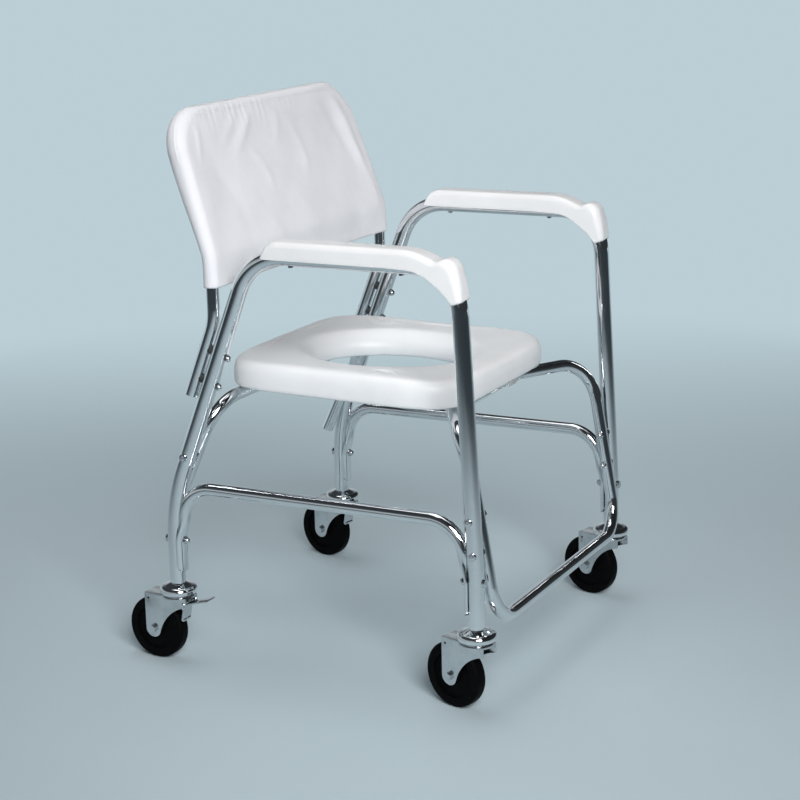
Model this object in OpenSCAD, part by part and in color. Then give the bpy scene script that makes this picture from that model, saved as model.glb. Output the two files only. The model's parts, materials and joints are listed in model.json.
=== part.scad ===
// Shower commode chair: bent chromed tubes on four swivel casters, a foam seat with an oval opening,
// a cloth sleeve for a backrest and moulded arm pads. Millimetres, front towards -Y, floor at z = 0.

/* [Frame] */
// distance between the centre lines of the two side frames
frame_w = 540; // [480:1:620]
// distance between the front and the rear caster stems
stem_span = 520; // [460:1:600]
// height of the legs' lower ends
leg_end_z = 136; // [128:1:150]
// height of the arm tube's centre line
arm_z = 664; // [620:1:720]
// height of the knee in the rear leg
rear_knee_z = 264; // [240:1:290]
// forward lean of the rear leg above its knee, degrees
rear_lean = 21.8; // [18:0.1:25]
// height of the slight knee in the front leg
front_knee_z = 219; // [200:1:240]
// backward lean of the front leg above its knee, degrees
front_lean = 2.6; // [1:0.1:4]
// bend radius of the rear knee
rear_knee_r = 350; // [250:5:400]
// bend radius of the front knee
front_knee_r = 300; // [200:5:400]
// bend radius behind the arm
rear_bend_r = 84; // [70:1:95]
// bend radius in front of the arm
front_bend_r = 70; // [60:1:80]

/* [Tubes] */
// main tube outside diameter
main_d = 25.4; // [24:0.1:28]
// main tube wall
main_wall = 1.6; // [1.2:0.1:2.5]
// cross tube outside diameter
cross_d = 20; // [18:0.1:22]
// cross tube wall
cross_wall = 1.5; // [1:0.1:2]
// free space between a leg and a cross tube beside it
tube_gap = 3.6; // [2.5:0.1:6]

/* [Stretchers] */
// height of the side stretchers
stretcher_z = 291; // [275:1:310]
// bend radius of the side stretchers
stretcher_r = 56; // [45:1:65]
// thickness of the pressed saddle end
saddle_wall = 5; // [4:0.5:7]
// half the width of the pressed saddle end
saddle_half_w = 15; // [12:0.5:16]
// length of the pressed change from round tube to saddle
press_len = 24; // [18:1:28]
// height of the saddle's lower edge
saddle_low_z = 152; // [142:1:170]
// height of the stretcher bolts
stretcher_bolt_z = 202; // [195:1:212]

/* [Seat supports] */
// how far the front support's corners lie behind the front stems
front_bar_back = 37; // [30:1:44]
// how far the middle of the front bar lies behind its corners
front_bow = 70; // [50:1:90]
// half the straight length in the middle of the front bar
front_mid_half = 120; // [110:1:135]
// bend radius beside the middle of the front bar
front_mid_r = 60; // [40:1:80]
// drop from the front bar to the crank in the front support's legs
front_crank_drop = 59; // [58:1:66]
// height at which the front support passes the leg's centre line
front_cross_z = 270; // [255:1:285]
// tilt of the front support's legs, degrees
front_tilt = 9.3; // [7:0.1:12]
// bend radius of the front bar
front_bar_r = 62; // [44:1:62]
// bend radius of the front crank
front_crank_r = 90; // [60:1:100]
// height of the foot bar
foot_bar_z = 132; // [125:1:150]
// bend radius of the foot bar
foot_bar_r = 56; // [45:1:62]
// height of the joint between foot bar and front support
foot_joint_z = 206; // [202:1:214]
// length of the plugged end of the foot bar
spigot_len = 24; // [16:1:26]
// height at which the rear support passes the leg's centre line
rear_cross_z = 341; // [330:1:355]
// lean of the rear support, degrees
rear_tilt = 25.2; // [22:0.1:28]
// bend radius of the rear bar
rear_bar_r = 58; // [45:1:65]
// height of the rear support's lower ends
rear_low_z = 252; // [246:1:270]
// distance of the front cross bolts from the crossing
front_bolt_step = 25.5; // [20:0.5:30]

/* [Backrest] */
// free space between the rear leg and the backrest tube
back_gap = 2.9; // [2.5:0.1:5]
// height of the backrest tube's lower ends
back_low_z = 441; // [425:1:455]
// height of the lower knee
back_knee_z = 560; // [545:1:575]
// height of the upper knee
back_upper_knee_z = 656; // [640:1:670]
// backward lean above the upper knee, degrees
back_lean = 18.8; // [12:0.1:24]
// height of the backrest's top tube
back_top_z = 859; // [820:1:900]
// half the width of the backrest at the top
back_top_half = 252; // [225:1:270]
// bend radius of both knees
back_knee_r = 84; // [60:1:95]
// bend radius of the top corners
back_corner_r = 65; // [50:1:80]
// heights of the backrest bolts on the leg's centre line
back_bolt_low_z = 462; // [456:1:470]
// height of the upper backrest bolt on the leg's centre line
back_bolt_high_z = 508; // [495:1:520]

/* [Sleeve] */
// height of the sleeve's lower hem
sleeve_low_z = 611; // [595:1:625]
// thickness of the cloth
cloth = 1.6; // [1:0.1:2.5]
// slack between cloth and tube
slack = 3.1; // [3:0.1:4]
// half the distance between the two layers in the middle
sleeve_waist = 6; // [4:0.5:9]
// how far the back layer stands off behind the upper part of the tube
sleeve_full = 11; // [0:0.5:14]
// height of the gathers along the top
gather_h = 0.8; // [0:0.1:1]

/* [Seat] */
// height of the cushion's underside over the rear bar
seat_low_z = 436; // [425:1:450]
// thickness of the cushion at its crown
seat_h = 45; // [35:1:55]
// slope of the cushion down to the front, degrees
seat_tilt = 1; // [0:0.1:1.2]
// distance of the front edge from the middle of the stems
seat_front = 190; // [175:1:200]
// distance of the back edge from the middle of the stems
seat_back = 216; // [205:1:222]
// half the width at the middle of the cushion
seat_half_w = 199; // [180:1:205]
// half the width of the opening
hole_half_w = 104; // [90:1:115]
// half the length of the opening
hole_half_l = 126; // [110:1:135]
// height of the crown across the cushion
crown_h = 4; // [0:0.5:8]
// length of a clip along the bar
clip_len = 26; // [18:1:36]
// thickness of a clip
clip_wall = 3; // [2:0.1:4]
// distance of the clips from the middle
clip_x = 86; // [75:1:88]

/* [Arm pads] */
// half the width of a pad
pad_half_w = 21; // [18:0.5:25]
// height of the pad's flat top above the tube's centre line
pad_top = 25; // [22:0.5:30]
// depth of the pad's lower edge below the tube's centre line
pad_skirt = 3; // [2:0.5:6]
// rounding of the pad's upper edges
pad_round = 9; // [6:0.5:12]
// distance of the pad's upper rear edge behind the middle of the stems
pad_rear_y = 62; // [50:1:66]
// slope of the pad's rear end, degrees
pad_end_slope = 75; // [60:1:80]
// part of the front bend that the pad covers, degrees
pad_wrap = 74; // [60:1:80]
// how much lower the pad is on the bend than on the arm
pad_drop = 4; // [3:0.5:7]
// distance of the knob's centre outside the tube's centre line
knob_out = 15; // [13:0.5:16]
// radius of the knob at the pad's front
knob_r = 19.5; // [18:0.5:20.5]
// place of the knob on the bend, degrees from level
knob_at = 50; // [45:1:60]
// distance of the front pad screw ahead of the middle of the stems
pad_screw_front = 150; // [130:1:160]
// distance of the rear pad screw behind the middle of the stems
pad_screw_rear = 32; // [20:1:36]

/* [Casters] */
// wheel diameter
wheel_d = 101.6; // [95:0.1:104]
// wheel width over the tread
wheel_w = 22; // [18:0.5:26]
// distance of the axle behind the stem
trail = 42; // [36:0.5:46]
// radius of the bearing hood
hood_r = 30; // [26:0.5:33]
// height of the hood's lower rim
hood_z = 112.4; // [111:0.1:115]
// thickness of the fork's steel
fork_t = 3; // [2:0.1:4]
// radius of the hollow front edge of a fork's cheek
scoop_r = 70; // [66:1:100]
// heading of the front right caster, degrees
turn_front_right = -16; // [-180:1:180]
// heading of the front left caster, degrees
turn_front_left = -15; // [-180:1:180]
// heading of the rear right caster, degrees
turn_rear_right = -3; // [-180:1:180]
// heading of the rear left caster, degrees
turn_rear_left = -13; // [-180:1:180]
// axle diameter
axle_d = 8; // [6:0.5:10]
// king pin diameter
king_d = 12; // [10:0.5:14]

/* [Brake] */
// distance of the brake pivot ahead of the stem
brake_ahead = 17; // [14:0.5:19]
// height of the brake pivot
brake_z = 98; // [96:0.5:100]
// diameter of the brake pin
brake_pin_d = 5; // [4:0.5:6]
// reach of the pedal ahead of its pivot
pedal_len = 46; // [35:1:60]
// rise of the pedal, degrees
pedal_rise = 16; // [5:1:25]
// reach of the shoe below its pivot
shoe_reach = 27; // [24:0.5:29]
// gap between shoe and tread when the brake is off
shoe_gap = 4; // [3:0.5:6]

/* [Hardware] */
// bolt diameter
bolt_d = 6; // [5:0.5:8]
// radius of bolt heads and domed nuts
head_r = 6.2; // [5.5:0.1:6.5]
// how far a head's rim comes down round the tube under it
sink = 2.5; // [2.4:0.1:3]
// height of bolt heads
head_h = 3; // [2:0.1:4]
// radius of spacers
spacer_r = 7; // [6:0.5:8]
// pad screw diameter
screw_d = 4; // [3:0.5:5]

/* [Fits] */
// radial clearance of a turning shaft
run_fit = 0.06; // [0.02:0.01:0.1]
// clearance between parts that are bolted together
fit = 0.1; // [0.05:0.05:0.3]
// clearance between faces that turn past each other
face_gap = 0.4; // [0.3:0.1:1]

/* [Hidden] */
$fn = 48;

chrome = [0.78, 0.80, 0.82];
zinc = [0.70, 0.72, 0.74];
white = [0.95, 0.95, 0.95];
black = [0.05, 0.05, 0.05];

half_w = frame_w / 2;
half_span = stem_span / 2;
main_r = main_d / 2;
main_bore = main_r - main_wall;
cross_r = cross_d / 2;
cross_bore = cross_r - cross_wall;
wheel_r = wheel_d / 2;
over = main_d;
swell = 0.08;
lap = 0.6;
mid_y = (trail + wheel_r - hood_r) / 2;

// side frame: points of the rear and the front leg's centre lines
function rear_leg_y(z) = half_span - max(0, z - rear_knee_z) * tan(rear_lean);
function front_leg_y(z) = -half_span + max(0, z - front_knee_z) * tan(front_lean);
rear_top_y = rear_leg_y(arm_z);
front_top_y = front_leg_y(arm_z);
function frame_pts(s) = [
  [s * half_w, half_span, leg_end_z],
  [s * half_w, half_span, rear_knee_z],
  [s * half_w, rear_top_y, arm_z],
  [s * half_w, front_top_y, arm_z],
  [s * half_w, -half_span, front_knee_z],
  [s * half_w, -half_span, leg_end_z]];
frame_radii = [rear_knee_r, rear_bend_r, front_bend_r, front_knee_r];

// seat supports
inner_x = half_w - main_r - tube_gap - cross_r;
bar_z = seat_low_z - clip_wall - cross_r - fit;
front_bar_y = front_bar_back - half_span;
function loop_y(z) = front_leg_y(front_cross_z) + (z - front_cross_z) * tan(front_tilt);
function rear_sup_y(z) = rear_leg_y(rear_cross_z) - (z - rear_cross_z) * tan(rear_tilt);
rear_bar_y = rear_sup_y(bar_z);
clip_half = cross_r + clip_wall;
front_clip_y = front_bar_y + front_bow;
// underside of the cushion, which slopes down from the rear bar
function seat_under(y) = seat_low_z - (rear_bar_y - y) * tan(seat_tilt);
front_bar_z = seat_under(front_clip_y - clip_half) - clip_half;
front_crank_z = front_bar_z - front_crank_drop;
front_support_pts = [
  [-inner_x, loop_y(foot_joint_z), foot_joint_z],
  [-inner_x, loop_y(front_crank_z), front_crank_z],
  [-inner_x, front_bar_y, front_bar_z],
  [-front_mid_half, front_clip_y, front_bar_z],
  [front_mid_half, front_clip_y, front_bar_z],
  [inner_x, front_bar_y, front_bar_z],
  [inner_x, loop_y(front_crank_z), front_crank_z],
  [inner_x, loop_y(foot_joint_z), foot_joint_z]];
front_support_radii = [front_crank_r, front_bar_r, front_mid_r, front_mid_r, front_bar_r, front_crank_r];
foot_bar_pts = [
  [-inner_x, loop_y(foot_joint_z), foot_joint_z],
  [-inner_x, loop_y(foot_bar_z), foot_bar_z],
  [inner_x, loop_y(foot_bar_z), foot_bar_z],
  [inner_x, loop_y(foot_joint_z), foot_joint_z]];
rear_support_pts = [
  [-inner_x, rear_sup_y(rear_low_z), rear_low_z],
  [-inner_x, rear_bar_y, bar_z],
  [inner_x, rear_bar_y, bar_z],
  [inner_x, rear_sup_y(rear_low_z), rear_low_z]];
front_bolt_heights = [front_cross_z - front_bolt_step, front_cross_z + front_bolt_step];
function front_bolt_y(z) = (front_leg_y(z) + loop_y(z)) / 2;

// backrest: the lower part lies behind the rear leg and parallel to it
lean_out = [0, cos(rear_lean), sin(rear_lean)];
back_off = main_r + back_gap + cross_r;
function back_line_y(z) = half_span - (z - rear_knee_z) * tan(rear_lean) + back_off / cos(rear_lean);
back_y = back_line_y(back_knee_z);
back_top_y = back_y + (back_top_z - back_upper_knee_z) * tan(back_lean);
back_pts = [
  [-half_w, back_line_y(back_low_z), back_low_z],
  [-half_w, back_y, back_knee_z],
  [-half_w, back_y, back_upper_knee_z],
  [-back_top_half, back_top_y, back_top_z],
  [back_top_half, back_top_y, back_top_z],
  [half_w, back_y, back_upper_knee_z],
  [half_w, back_y, back_knee_z],
  [half_w, back_line_y(back_low_z), back_low_z]];
back_radii = [back_knee_r, back_knee_r, back_corner_r, back_corner_r, back_knee_r, back_knee_r];
function back_bolt_at(s, z) = [s * half_w, rear_leg_y(z), z];
back_bolt_heights = [back_bolt_low_z, back_bolt_high_z];

// stretchers: the round tube ends against the leg and goes on as a pressed saddle
saddle_r = main_r + fit + saddle_wall;
stretcher_off = main_r + saddle_wall;
press_z = stretcher_z - stretcher_r;
function stretcher_pts(s, cut) = [
  [s * half_w, half_span - stretcher_off, press_z - cut],
  [s * half_w, half_span - stretcher_off, stretcher_z],
  [s * half_w, stretcher_off - half_span, stretcher_z],
  [s * half_w, stretcher_off - half_span, press_z - cut]];

// casters
axle_z = wheel_r;
crown_top = hood_z - face_gap - fork_t / 2;
crown_low = crown_top - fork_t;
hub_half = wheel_w / 2 + fork_t / 2;
fork_in = hub_half + face_gap;
fork_out = fork_in + fork_t;
strap_r = trail / 3;
rivet_h = fork_t;
rivet_r = king_d * 3 / 4;
collar_h = fork_t * 3 / 2;
hood_lip = hood_r / 4;
brake_at = [0, -brake_ahead, brake_z];

function unit(v) = v / norm(v);
function across(w) = unit(abs(w.x) < abs(w.z) ? cross(w, [1, 0, 0]) : cross(w, [0, 0, 1]));
function spow(v, e) = sign(v) * pow(abs(v), e);
function tangent_len(a, b, c, r) = r * tan(acos(unit(b - a) * unit(c - b)) / 2);
// a path with its two ends moved outwards along their own directions
function stretched(p, e0, e1) = [for (i = [0 : len(p) - 1])
  i == 0 ? p[0] - unit(p[1] - p[0]) * e0 :
  i == len(p) - 1 ? p[i] + unit(p[i] - p[i - 1]) * e1 : p[i]];

// every node is drawn about the middle of the stems and then shifted to the box's middle
module centred() translate([0, -mid_y, 0]) children();

// rigid placement with local axes a, b, c and origin o
module placed(a, b, c, o)
  multmatrix([[a.x, b.x, c.x, o.x], [a.y, b.y, c.y, o.y], [a.z, b.z, c.z, o.z], [0, 0, 0, 1]])
    children();

// local z along w, from the point o
module along(o, w) {
  c = unit(w);
  a = across(c);
  placed(a, cross(c, a), c, o) children();
}

module rod(a, b, r) along(a, b - a) cylinder(r = r, h = norm(b - a));

// one bend of a tube between the directions a-b and b-c
module bend(a, b, c, big_r, r) {
  u = unit(b - a);
  v = unit(c - b);
  w = unit(v - u * (u * v));
  o = b - u * tangent_len(a, b, c, big_r) + w * big_r;
  placed(-w, u, cross(-w, u), o)
    rotate_extrude(angle = acos(u * v))
      translate([big_r, 0])
        circle(r = r);
}

// solid round bar along a path with rounded corners; a bend swells a little, as bent tube does,
// and the straight lengths reach a little way into it
module run(pts, radii, r) {
  n = len(pts);
  for (i = [0 : n - 2]) {
    u = unit(pts[i + 1] - pts[i]);
    t0 = i == 0 ? 0 : tangent_len(pts[i - 1], pts[i], pts[i + 1], radii[i - 1]);
    t1 = i == n - 2 ? 0 : tangent_len(pts[i], pts[i + 1], pts[i + 2], radii[i]);
    if (norm(pts[i + 1] - pts[i]) > t0 + t1 + fit)
      rod(pts[i] + u * (t0 - (i == 0 ? 0 : lap)), pts[i + 1] - u * (t1 - (i == n - 2 ? 0 : lap)), r);
  }
  for (i = [1 : n - 2])
    bend(pts[i - 1], pts[i], pts[i + 1], radii[i - 1], r + swell);
}

module tube(pts, radii, r, bore) difference() {
  run(pts, radii, r);
  run(stretched(pts, over, over), radii, bore);
}

// hole right through, along w, centred on o
module hole(o, w, r, len) along(o - unit(w) * len / 2, w) cylinder(r = r, h = len);

bolt_hole_r = bolt_d / 2 + fit;

module side_holes(s) {
  for (y = [-half_span, half_span])
    hole([s * half_w, y, stretcher_bolt_z], [0, 1, 0], bolt_hole_r, 2 * over);
  for (z = front_bolt_heights)
    hole([s * half_w, front_bolt_y(z), z], [1, 0, 0], bolt_hole_r, 2 * over);
  hole([s * half_w, rear_leg_y(rear_cross_z), rear_cross_z], [1, 0, 0], bolt_hole_r, 2 * over);
  for (z = back_bolt_heights)
    hole(back_bolt_at(s, z), lean_out, bolt_hole_r, 2 * over);
  for (y = [-pad_screw_front, pad_screw_rear])
    hole([s * half_w, y, arm_z], [0, 0, 1], screw_d / 2 + fit, 2 * over);
}

module side_frame(s) centred() color(chrome) difference() {
  tube(frame_pts(s), frame_radii, main_r, main_bore);
  side_holes(s);
}
module side_frame_right() side_frame(-1);
module side_frame_left() side_frame(1);

// pressed end of a stretcher, hugging the leg at y towards the direction d
module saddle(s, y, d) intersection() {
  translate([s * half_w, y, saddle_low_z])
    cylinder(r = saddle_r, h = press_z - saddle_low_z);
  translate([s * half_w - saddle_half_w, d > 0 ? y : y - over, saddle_low_z - over])
    cube([2 * saddle_half_w, over, stretcher_z]);
}

// sloping side of the press that takes the round tube down to the saddle's thickness
press_slope = atan((stretcher_off + cross_r - saddle_r) / press_len);
module press_cut(s, y, d)
  translate([s * half_w, y + d * (stretcher_off + cross_r), press_z])
    rotate([-d * press_slope, 0, 0])
      translate([-over, d > 0 ? 0 : -2 * over, -2 * stretcher_r])
        cube([2 * over, 2 * over, 2 * stretcher_r]);

module stretcher(s) centred() color(chrome) difference() {
  union() {
    difference() {
      run(stretcher_pts(s, press_len), [stretcher_r, stretcher_r], cross_r);
      press_cut(s, half_span, -1);
      press_cut(s, -half_span, 1);
      run(stretcher_pts(s, 0), [stretcher_r, stretcher_r], cross_bore);
    }
    saddle(s, half_span, -1);
    saddle(s, -half_span, 1);
  }
  run(frame_pts(s), frame_radii, main_r + fit);
  for (y = [-half_span, half_span])
    hole([s * half_w, y, stretcher_bolt_z], [0, 1, 0], bolt_hole_r, 2 * over);
}
module stretcher_right() stretcher(-1);
module stretcher_left() stretcher(1);

module front_bolt_holes(len) for (s = [-1, 1], z = front_bolt_heights)
  hole([s * inner_x, front_bolt_y(z), z], [1, 0, 0], bolt_hole_r, len);

module front_seat_support() centred() color(chrome) difference() {
  tube(front_support_pts, front_support_radii, cross_r, cross_bore);
  front_bolt_holes(2 * over);
}

module front_foot_bar() centred() color(chrome) difference() {
  union() {
    run(foot_bar_pts, [foot_bar_r, foot_bar_r], cross_r);
    for (i = [0, len(foot_bar_pts) - 1]) {
      p = foot_bar_pts[i];
      q = foot_bar_pts[i == 0 ? 1 : i - 1];
      rod(p - unit(p - q) * lap, p + unit(p - q) * spigot_len, cross_bore - fit);
    }
  }
  run(stretched(foot_bar_pts, over, over), [foot_bar_r, foot_bar_r], cross_bore - cross_wall - fit);
}

module rear_seat_support() centred() color(chrome) difference() {
  tube(rear_support_pts, [rear_bar_r, rear_bar_r], cross_r, cross_bore);
  for (s = [-1, 1])
    hole([s * inner_x, rear_leg_y(rear_cross_z), rear_cross_z], [1, 0, 0], bolt_hole_r, 2 * over);
}

module backrest_frame() centred() color(chrome) difference() {
  tube(back_pts, back_radii, cross_r, cross_bore);
  for (s = [-1, 1], z = back_bolt_heights)
    hole(back_bolt_at(s, z) + lean_out * back_off, lean_out, bolt_hole_r, 2 * over);
}

// sleeve: two cloth layers round the backrest tube, closed at the sides and along the top
sleeve_n = 40;
sleeve_m = 13;
function back_axis_y(z) = back_y + max(0, min(z, back_top_z) - back_upper_knee_z) * tan(back_lean);
function back_axis_x(z) = half_w + (back_top_half - half_w)
  * max(0, z - back_upper_knee_z) / (back_top_z - back_upper_knee_z);
corner_z = back_top_z - back_corner_r * cos(back_lean);
side_slope = atan((half_w - back_top_half) * cos(back_lean) / (back_top_z - back_upper_knee_z));
corner_x = back_top_half - back_corner_r * tan((90 - side_slope) / 2);
// distance above the corner's centre, measured along the leaning tube up to the top tube
function over_corner(z) = back_corner_r + (z > back_top_z ? z - back_top_z : (z - back_top_z) / cos(back_lean));
// outer half width of the sleeve at the height z for a roll of radius r round the tube
function sleeve_half(z, r) = z <= corner_z ? back_axis_x(z) + r :
  corner_x + (back_axis_x(corner_z) - corner_x + r) / (back_corner_r + r)
    * sqrt(max(0, pow(back_corner_r + r, 2) - pow(over_corner(z), 2)));
// how far the point lies inside the tube's centre line
function inside_by(x, z) = z > corner_z && x > corner_x ?
  back_corner_r - norm([x - corner_x, over_corner(z)]) :
  min(back_axis_x(z) - x, back_corner_r - over_corner(z));
function layer(x, z, r, waist) = let (d = inside_by(x, z))
  d < 0 ? sqrt(max(0, r * r - min(r * r, d * d))) : waist + (r - waist) * exp(-pow(d / back_corner_r, 2));
function gathers(x, z) = gather_h * pow(max(0, z - corner_z) / back_corner_r, 2) * (1 + sin(4 * x)) / 2;
function sleeve_pt(i, j, r, waist) = let (
    top = back_top_z + r - slack + 2 * fit,
    z = sleeve_low_z + (top - sleeve_low_z) * sin(90 * j / sleeve_m),
    p = 360 * i / sleeve_n,
    x = sleeve_half(z, r) * cos(p),
    t = max(cloth / 4, layer(abs(x), z, r, waist)))
  [x, back_axis_y(z) + (abs(sin(p)) < fit ? 0 : sign(sin(p)) * t)
      - (sin(p) < -fit ? gathers(x, z) : 0) + stand_off(p, z, top), z];
// the back layer stands off most a little below the top and not at all at the front
function stand_off(p, z, top) = sleeve_full * max(0, min(1, 3 * sin(p)))
  * sin(180 * pow((z - sleeve_low_z) / (top - sleeve_low_z), 2));
function ring_faces(base, n, m, flip) = [for (j = [0 : m - 1], i = [0 : n - 1], k = [0, 1])
  let (a = base + j * n + i, b = base + j * n + (i + 1) % n, c = a + n, d = b + n,
    f = k == 0 ? [a, c, b] : [b, c, d]) flip ? [f[2], f[1], f[0]] : f];
// closing strip between the front and the back half of the last ring
function lid_faces(base, n, flip) = [for (i = [0 : n / 2 - 1], k = [0, 1])
  let (a = base + i, b = base + i + 1, c = base + (n - i) % n, d = base + n - i - 1,
    f = k == 0 ? [a, b, c] : [b, d, c]) if (f[0] != f[1] && f[1] != f[2] && f[0] != f[2])
    flip ? f : [f[2], f[1], f[0]]];

module backrest_sleeve() centred() color(white) {
  ring = sleeve_n * (sleeve_m + 1);
  r_in = cross_r + slack;
  pts = concat(
    [for (j = [0 : sleeve_m], i = [0 : sleeve_n - 1]) sleeve_pt(i, j, r_in + cloth, sleeve_waist + cloth)],
    [for (j = [0 : sleeve_m], i = [0 : sleeve_n - 1]) sleeve_pt(i, j, r_in, sleeve_waist)]);
  hem = [for (i = [0 : sleeve_n - 1], k = [0, 1])
    let (a = i, b = (i + 1) % sleeve_n, c = ring + i, d = ring + (i + 1) % sleeve_n)
      k == 0 ? [a, b, c] : [b, d, c]];
  polyhedron(points = pts, faces = concat(
    ring_faces(0, sleeve_n, sleeve_m, false), ring_faces(ring, sleeve_n, sleeve_m, true),
    lid_faces(sleeve_n * sleeve_m, sleeve_n, false), lid_faces(ring + sleeve_n * sleeve_m, sleeve_n, true),
    hem));
}

// seat cushion: a rounded section carried round the opening
seat_n = 72;
seat_m = 14;
seat_half_l = (seat_front + seat_back) / 2;
seat_mid_y = (seat_back - seat_front) / 2;
outline_pow = 6;
section_share = 0.42;
flat_share = 0.05;
function oval(a, wx, wy, e) = 1 / pow(pow(abs(cos(a)) / wx, e) + pow(abs(sin(a)) / wy, e), 1 / e);
function seat_edge(a) = let (r = oval(a, seat_half_w, seat_half_l, outline_pow), y = r * sin(a))
  [r * cos(a), seat_mid_y + y];
function seat_hole(a) = let (r = oval(a, hole_half_w, hole_half_l, 2)) [r * cos(a), seat_mid_y + r * sin(a)];
function seat_pt(i, j) = let (
    a = 360 * i / seat_n,
    p = 360 * (j + 1 / 2) / seat_m,
    s = (1 + spow(cos(p), section_share)) / 2,
    h = max(0, (1 + flat_share) * (1 + spow(sin(p), section_share)) / 2 - flat_share),
    lift = h > 1 / 2 ? -crown_h * pow(2 * s - 1, 2) : 0,
    xy = seat_hole(a) * (1 - s) + seat_edge(a) * s)
  [xy.x, xy.y, seat_low_z + h * seat_h + lift];

module seat_cushion() centred() color(white) {
  pts = [for (i = [0 : seat_n - 1], j = [0 : seat_m - 1]) seat_pt(i, j)];
  faces = [for (i = [0 : seat_n - 1], j = [0 : seat_m - 1], k = [0, 1])
    let (a = i * seat_m + j, b = i * seat_m + (j + 1) % seat_m,
      c = ((i + 1) % seat_n) * seat_m + j, d = ((i + 1) % seat_n) * seat_m + (j + 1) % seat_m)
      k == 0 ? [a, b, c] : [b, d, c]];
  translate([0, rear_bar_y, seat_low_z]) rotate([seat_tilt, 0, 0]) translate([0, -rear_bar_y, -seat_low_z])
    polyhedron(points = pts, faces = faces);
}

// spring clips between the cushion and a bar
module seat_clips(y, z) centred() color(white) for (s = [-1, 1])
  translate([s * clip_x - clip_len / 2, y, z])
    difference() {
      union() {
        rotate([0, 90, 0]) cylinder(r = clip_half, h = clip_len);
        translate([0, -clip_half, 0]) cube([clip_len, 2 * clip_half, seat_under(y - clip_half) - z]);
      }
      translate([-over, 0, 0]) rotate([0, 90, 0]) cylinder(r = cross_r + fit / 2, h = clip_len + 2 * over);
      translate([-over, -cross_r * 4 / 5, -2 * cross_r])
        cube([clip_len + 2 * over, cross_r * 8 / 5, 2 * cross_r]);
    }
module seat_clips_front() seat_clips(front_clip_y, front_bar_z);
module seat_clips_rear() seat_clips(rear_bar_y, bar_z);

// arm pad: one section carried straight along the arm and round the front bend
module pad_section(half, top) {
  for (s = [-1, 1])
    translate([s * (half - pad_round), top - pad_round]) circle(r = pad_round);
  translate([-half, -pad_skirt]) square([2 * half, pad_skirt + top - pad_round]);
  translate([pad_round - half, 0]) square([2 * (half - pad_round), top]);
}
front_turn = 90 + front_lean;
bend_y = front_top_y + front_bend_r * tan(front_turn / 2);
bend_z = arm_z - front_bend_r;
pad_end_y = pad_rear_y + (pad_top + pad_skirt) / tan(pad_end_slope);

module arm_pad(s) centred() color(white) difference() {
  union() {
    translate([s * half_w, pad_end_y, arm_z])
      rotate([90, 0, 0]) linear_extrude(height = pad_end_y - bend_y + lap) pad_section(pad_half_w, pad_top);
    translate([s * half_w, bend_y, bend_z])
      rotate([0, -90, 0])
        rotate_extrude(angle = -pad_wrap)
          translate([front_bend_r, 0]) rotate(-90) pad_section(pad_half_w - fit, pad_top - pad_drop);
    translate([s * half_w, bend_y, bend_z])
      rotate([-knob_at, 0, 0])
        translate([0, -front_bend_r - knob_out, 0])
          sphere(r = knob_r);
  }
  translate([s * half_w - over, pad_rear_y, arm_z + pad_top])
    rotate([-pad_end_slope, 0, 0])
      cube([2 * over, 4 * over, 2 * over]);
  run(frame_pts(s), frame_radii, main_r + fit);
  translate([s * half_w - main_r - 2 * fit, bend_y + lap, arm_z - over])
    cube([2 * (main_r + 2 * fit), 2 * half_span, over]);
  for (y = [-pad_screw_front, pad_screw_rear])
    hole([s * half_w, y, arm_z], [0, 0, 1], screw_d / 2 + fit, 2 * (pad_top - pad_round / 2));
}
module arm_pad_right() arm_pad(-1);
module arm_pad_left() arm_pad(1);

module pad_screws(s) centred() color(zinc) for (y = [-pad_screw_front, pad_screw_rear])
  translate([s * half_w, y, arm_z - main_r]) {
    difference() {
      translate([0, 0, -head_h * 2 / 3]) cylinder(r = screw_d, h = head_h * 4 / 3);
      translate([-over, -over, -over]) cube([2 * over, over * 2, over - head_h * 2 / 3]);
      translate([0, over, main_r]) rotate([90, 0, 0]) cylinder(r = main_r + fit / 2, h = 2 * over);
    }
    cylinder(r = screw_d / 2, h = main_r + pad_top - pad_round);
  }
module pad_screws_right() pad_screws(-1);
module pad_screws_left() pad_screws(1);

// domed head at a of a bolt that runs along w
module bolt_head(a, w) along(a, w) {
  translate([0, 0, -head_h]) cylinder(r = head_r, h = head_h + sink);
  intersection() {
    translate([0, 0, head_r - head_h]) sphere(r = head_r * 9 / 8);
    translate([0, 0, -3 * head_h]) cylinder(r = head_r - fit / 2, h = 3 * head_h);
  }
}
// domed nut at the distance len from a
module bolt_nut(a, w, len) along(a, w) {
  translate([0, 0, len - sink]) cylinder(r = head_r, h = head_h + sink, $fn = 6);
  translate([0, 0, len + head_h]) sphere(r = head_r * 4 / 5);
}
module bolt_ends(a, w, len) {
  bolt_head(a, w);
  bolt_nut(a, w, len);
}
module shank(a, w, len) along(a, w)
  translate([0, 0, -head_h / 2]) cylinder(r = bolt_d / 2, h = len + head_h);

// bolt heads and nuts are hollowed to the tube they lie on; the backrest's bolts end flush in its tube
module backrest_bolts(s) centred() color(zinc) for (z = back_bolt_heights) {
  p = back_bolt_at(s, z) + lean_out * (back_off + cross_r);
  len = back_off + cross_r + main_r;
  difference() {
    bolt_nut(p, -lean_out, len);
    rod(frame_pts(s)[1], frame_pts(s)[2], main_r + fit / 2);
  }
  along(p, -lean_out) cylinder(r = bolt_d / 2, h = len + head_h / 2);
}
module backrest_bolts_right() backrest_bolts(-1);
module backrest_bolts_left() backrest_bolts(1);

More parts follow.
